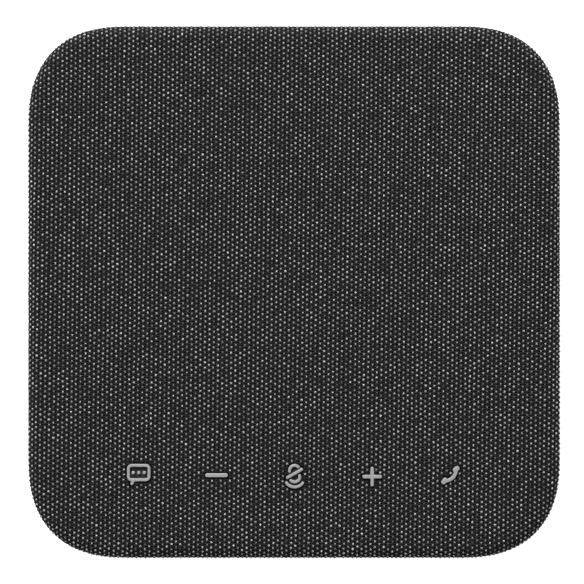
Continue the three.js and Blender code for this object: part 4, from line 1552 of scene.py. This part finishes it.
    def build(self, wardrobe: Wardrobe) -> None:
        """Makes and dresses the pieces that show below the skin.

        Args:
            wardrobe: Holds the finishes.
        """
        for node, maker, slot in (
            ("bottom_shell", self.shell, Slot.DARK_PLASTIC),
            ("foot_plate", self.foot, Slot.DARK_PLASTIC),
            ("rubber_foot", self.ring, Slot.RUBBER),
            ("cable_gland", self.gland, Slot.RUBBER),
        ):
            piece = wardrobe.dress(maker(), slot)
            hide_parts(node)
            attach(piece, "housing")
            LOG.info("%s: %d faces", piece.name, len(piece.data.polygons))


# ---------------------------------------------------------------- loudspeaker hoops


@dataclass
class Hoops:
    """The loudspeaker's half roll and its spider, each in two hoops with a slit between them.

    The outer hoop stays with the frame and the inner one moves with the cone, so that nothing meets at
    either end of the travel.
    """

    rubber: float = 0.4  # thickness of the half roll
    cloth: float = 0.2  # thickness of the spider
    slit: float = 0.2
    lip: float = 1.0  # how far the half roll's glued lip lies over the cone
    throat: float = 1.9  # how far the spider's moving hoop reaches beyond the coil
    neck: float = 0.3  # between the coil and the spider
    waves: int = 4
    facets: int = 72

    def __post_init__(self) -> None:
        """Reads the loudspeaker's sizes from its nodes."""
        cone = Extent("speaker_cone")
        self.middle = cone.middle[:2]
        self.cone = cone.radius
        self.coil = Extent("voice_coil").radius

    def hoop(self, line: Path, thickness: float) -> Body:
        """A thin ring whose top follows a line of (radius, z) points, from its inner edge out.

        Args:
            line: The top's points, from the inner edge out.
            thickness: How thick the ring is.

        Returns:
            The closed body.
        """
        under = [(radius, z - thickness) for radius, z in line]
        body = lathe([*under, *reversed(line)], self.facets, closed=True)
        return body.moved(*self.middle)

    def roll(self) -> list[Body]:
        """The rubber half roll and its flange, and the lip that is glued to the cone.

        Returns:
            The hoop that stays still, and the one that moves.
        """
        box = Extent("speaker_surround")
        base = box.low[2] + self.rubber
        radius = (box.high[2] - base) - self.slit / 2
        inner = self.cone + self.slit
        still = [*arc(inner + radius, base, radius, 180, 0, 16), (box.radius, base)]
        moving = [(self.cone - self.lip, base), (self.cone, base)]
        return [self.hoop(still, self.rubber), self.hoop(moving, self.rubber)]

    def spider(self) -> list[Body]:
        """The corrugated cloth between the frame and the coil.

        Returns:
            The hoop that stays still, and the one that moves.
        """
        box = Extent("speaker_spider")
        crest = box.high[2]
        dip = (crest - box.low[2] - self.cloth) / 2
        inner = self.coil + self.neck
        split = self.coil + self.throat
        turn = math.tau * self.waves / (box.radius - inner)

        def line(start: float, end: float, steps: int) -> Path:
            """The cloth's top, from one radius to another."""
            radii = np.linspace(start, end, steps + 1)
            return [(r, crest - dip * (1 - math.cos(turn * (r - inner)))) for r in radii]

        still = line(split + self.slit, box.radius, 30)
        moving = line(inner, split - self.slit / 2, 12)
        return [self.hoop(still, self.cloth), self.hoop(moving, self.cloth)]

    def build(self, wardrobe: Wardrobe) -> None:
        """Makes and dresses both soft parts, the outer hoop of each in its node's stead.

        Args:
            wardrobe: Holds the finishes.
        """
        for node, bodies, slot in (
            ("speaker_surround", self.roll(), Slot.RUBBER),
            ("speaker_spider", self.spider(), Slot.VARNISHED_CLOTH),
        ):
            for body, name, rides in zip(bodies, ("still", "moving"), ("housing", "diaphragm")):
                piece = wardrobe.dress(body.as_object(f"{node}_{name}"), slot)
                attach(piece, rides)
                if name == "still":
                    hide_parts(node)
                LOG.info("%s: %d faces", piece.name, len(piece.data.polygons))


# ---------------------------------------------------------------- pieces carried over


DRESSED = {
    Slot.DARK_PLASTIC: ("top_shell", "key"),
    Slot.IVORY_PLASTIC: (
        "key_board_socket", "main_board_socket", "flat_cable", "speaker_header", "usb_header", "plunger",
    ),
    Slot.CIRCUIT_BOARD: ("key_board", "main_board"),
    Slot.CHIP_PLASTIC: ("audio_processor",),
    Slot.RED_WIRE: ("speaker_lead_red",),
    Slot.BLACK_WIRE: ("speaker_lead_black", "microphone_lead"),
    Slot.STEEL: ("speaker_screw", "case_screw", "speaker_top_plate", "speaker_yoke", "microphone"),
    Slot.BLACK_STEEL: ("speaker_frame", "switch"),
    Slot.FERRITE: ("speaker_magnet",),
    Slot.PAPER: ("speaker_cone", "speaker_dust_cap"),
    Slot.FOAM: ("speaker_gasket",),
    Slot.COPPER: ("voice_coil",),
    Slot.RUBBER: ("microphone_boot",),
}


@dataclass
class Inside:
    """Every piece inside whose shape is already right, dressed in what it is made of."""

    kinds: dict[str, Slot] = field(
        default_factory=lambda: {kind: slot for slot, kinds in DRESSED.items() for kind in kinds}
    )

    def build(self, wardrobe: Wardrobe) -> None:
        """Dresses every node that is still shown, by the longest kind that its name starts with.

        Args:
            wardrobe: Holds the finishes.
        """
        count = 0
        for name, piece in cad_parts.items():
            if piece.hide_render:
                continue
            kind = max((kind for kind in self.kinds if name.startswith(kind)), key=len)
            wardrobe.dress(piece, self.kinds[kind])
            count += 1
        LOG.info("carried over: %d pieces", count)


# ---------------------------------------------------------------- studio


AIM = Vector((0, 0, 0.02))  # what the lamps face, in metres


@dataclass(frozen=True)
class Lamp:
    """A square soft lamp that faces the object."""

    name: str
    place: tuple[float, float, float]  # in metres
    size: float  # its side, in metres
    power: float  # in watts

    def hang(self) -> None:
        """Puts the lamp in its place."""
        light = bpy.data.lights.new(self.name, "AREA")
        light.size = self.size
        light.energy = self.power
        made = bpy.data.objects.new(self.name, light)
        made.location = self.place
        made.rotation_mode = "QUATERNION"
        made.rotation_quaternion = (AIM - Vector(self.place)).to_track_quat("-Z", "Y")
        bpy.context.scene.collection.objects.link(made)


LAMPS = (
    Lamp("key light", (-0.35, 0.95, 1.05), 0.6, 23),
    Lamp("back light", (0.1, 1.35, 0.5), 0.5, 8),
    Lamp("front light", (0.3, -0.9, 1.1), 0.9, 0.8),
)


@dataclass
class Studio:
    """A pale table, soft light from behind and above, and a camera straight above the object."""

    frame_width: float = 111.45  # what the camera sees across at the object's top, mm
    lens: float = 135.0
    sensor: float = 36.0
    aside: float = -0.385  # how far the camera stands off the object's middle, mm
    table_half: float = 30000.0  # half of the table's side, mm: wide enough to hide its edge
    glow: float = 0.88  # light that the table gives of itself
    surround: float = 0.25  # light that comes from all round

    def table(self) -> None:
        """A wide matt table under the foot."""
        plan = np.array([(-1, -1), (1, -1), (1, 1), (-1, 1)]) * self.table_half
        made = Body(raised(plan, 0), [[0, 1, 2, 3]]).as_object("table")
        # Translucent white acrylic lit from below, as product tables are: shadows on it stay faint.
        sheet = Finish("white acrylic", "d2d2d2", "d8d8d8", Grain.SPARKED, 0.8, 0.004, (0.5, 0.6)).build()
        tree = sheet.node_tree
        shader = tree.nodes["Principled BSDF"]
        feed(tree, shader, {"Emission Color": (1, 1, 1, 1), "Emission Strength": self.glow})
        # From below the sheet is clear, so that it never hides the foot.
        side = add_node(tree, "ShaderNodeNewGeometry").outputs["Backfacing"]
        clear = add_node(tree, "ShaderNodeBsdfTransparent").outputs["BSDF"]
        seen = add_node(tree, "ShaderNodeMixShader", {0: side, 1: shader.outputs["BSDF"], 2: clear})
        feed(tree, tree.nodes["Material Output"], {"Surface": seen.outputs["Shader"]})
        made.data.materials.append(sheet)

    def sky(self) -> None:
        """An even pale surround that fills the shadows."""
        world = bpy.data.worlds.new("surround")
        world.use_nodes = True
        back = world.node_tree.nodes["Background"]
        feed(world.node_tree, back, {"Color": (1, 1, 1, 1), "Strength": self.surround})
        bpy.context.scene.world = world

    def camera(self) -> None:
        """The camera, straight above, far enough for its view to take in the whole object."""
        top = CAD_BOX[1].z
        distance = self.lens / self.sensor * self.frame_width * MM
        data = bpy.data.cameras.new("camera")
        data.lens = self.lens
        data.sensor_width = self.sensor
        made = bpy.data.objects.new("camera", data)
        made.location = (self.aside * MM, 0, top + distance)
        bpy.context.scene.collection.objects.link(made)
        bpy.context.scene.camera = made

    def build(self) -> None:
        """Sets the table, the lamps, the surround and the camera."""
        self.table()
        for lamp in LAMPS:
            lamp.hang()
        self.sky()
        self.camera()
        bpy.context.scene.view_settings.view_transform = "Standard"


def main() -> None:
    """Builds every sub-assembly in order and reports each."""
    logging.basicConfig(level=logging.INFO, format="%(name)s: %(message)s")
    plan = Plan(half=Extent("fabric_cover").high[0])
    wardrobe = Wardrobe()
    Studio().build()
    keys = Keys()
    keys.build(wardrobe)
    Skin(plan, keys).build()
    LowerHousing(plan).build(wardrobe)
    Hoops().build(wardrobe)
    Inside().build(wardrobe)


if __name__ == "__main__":
    main()
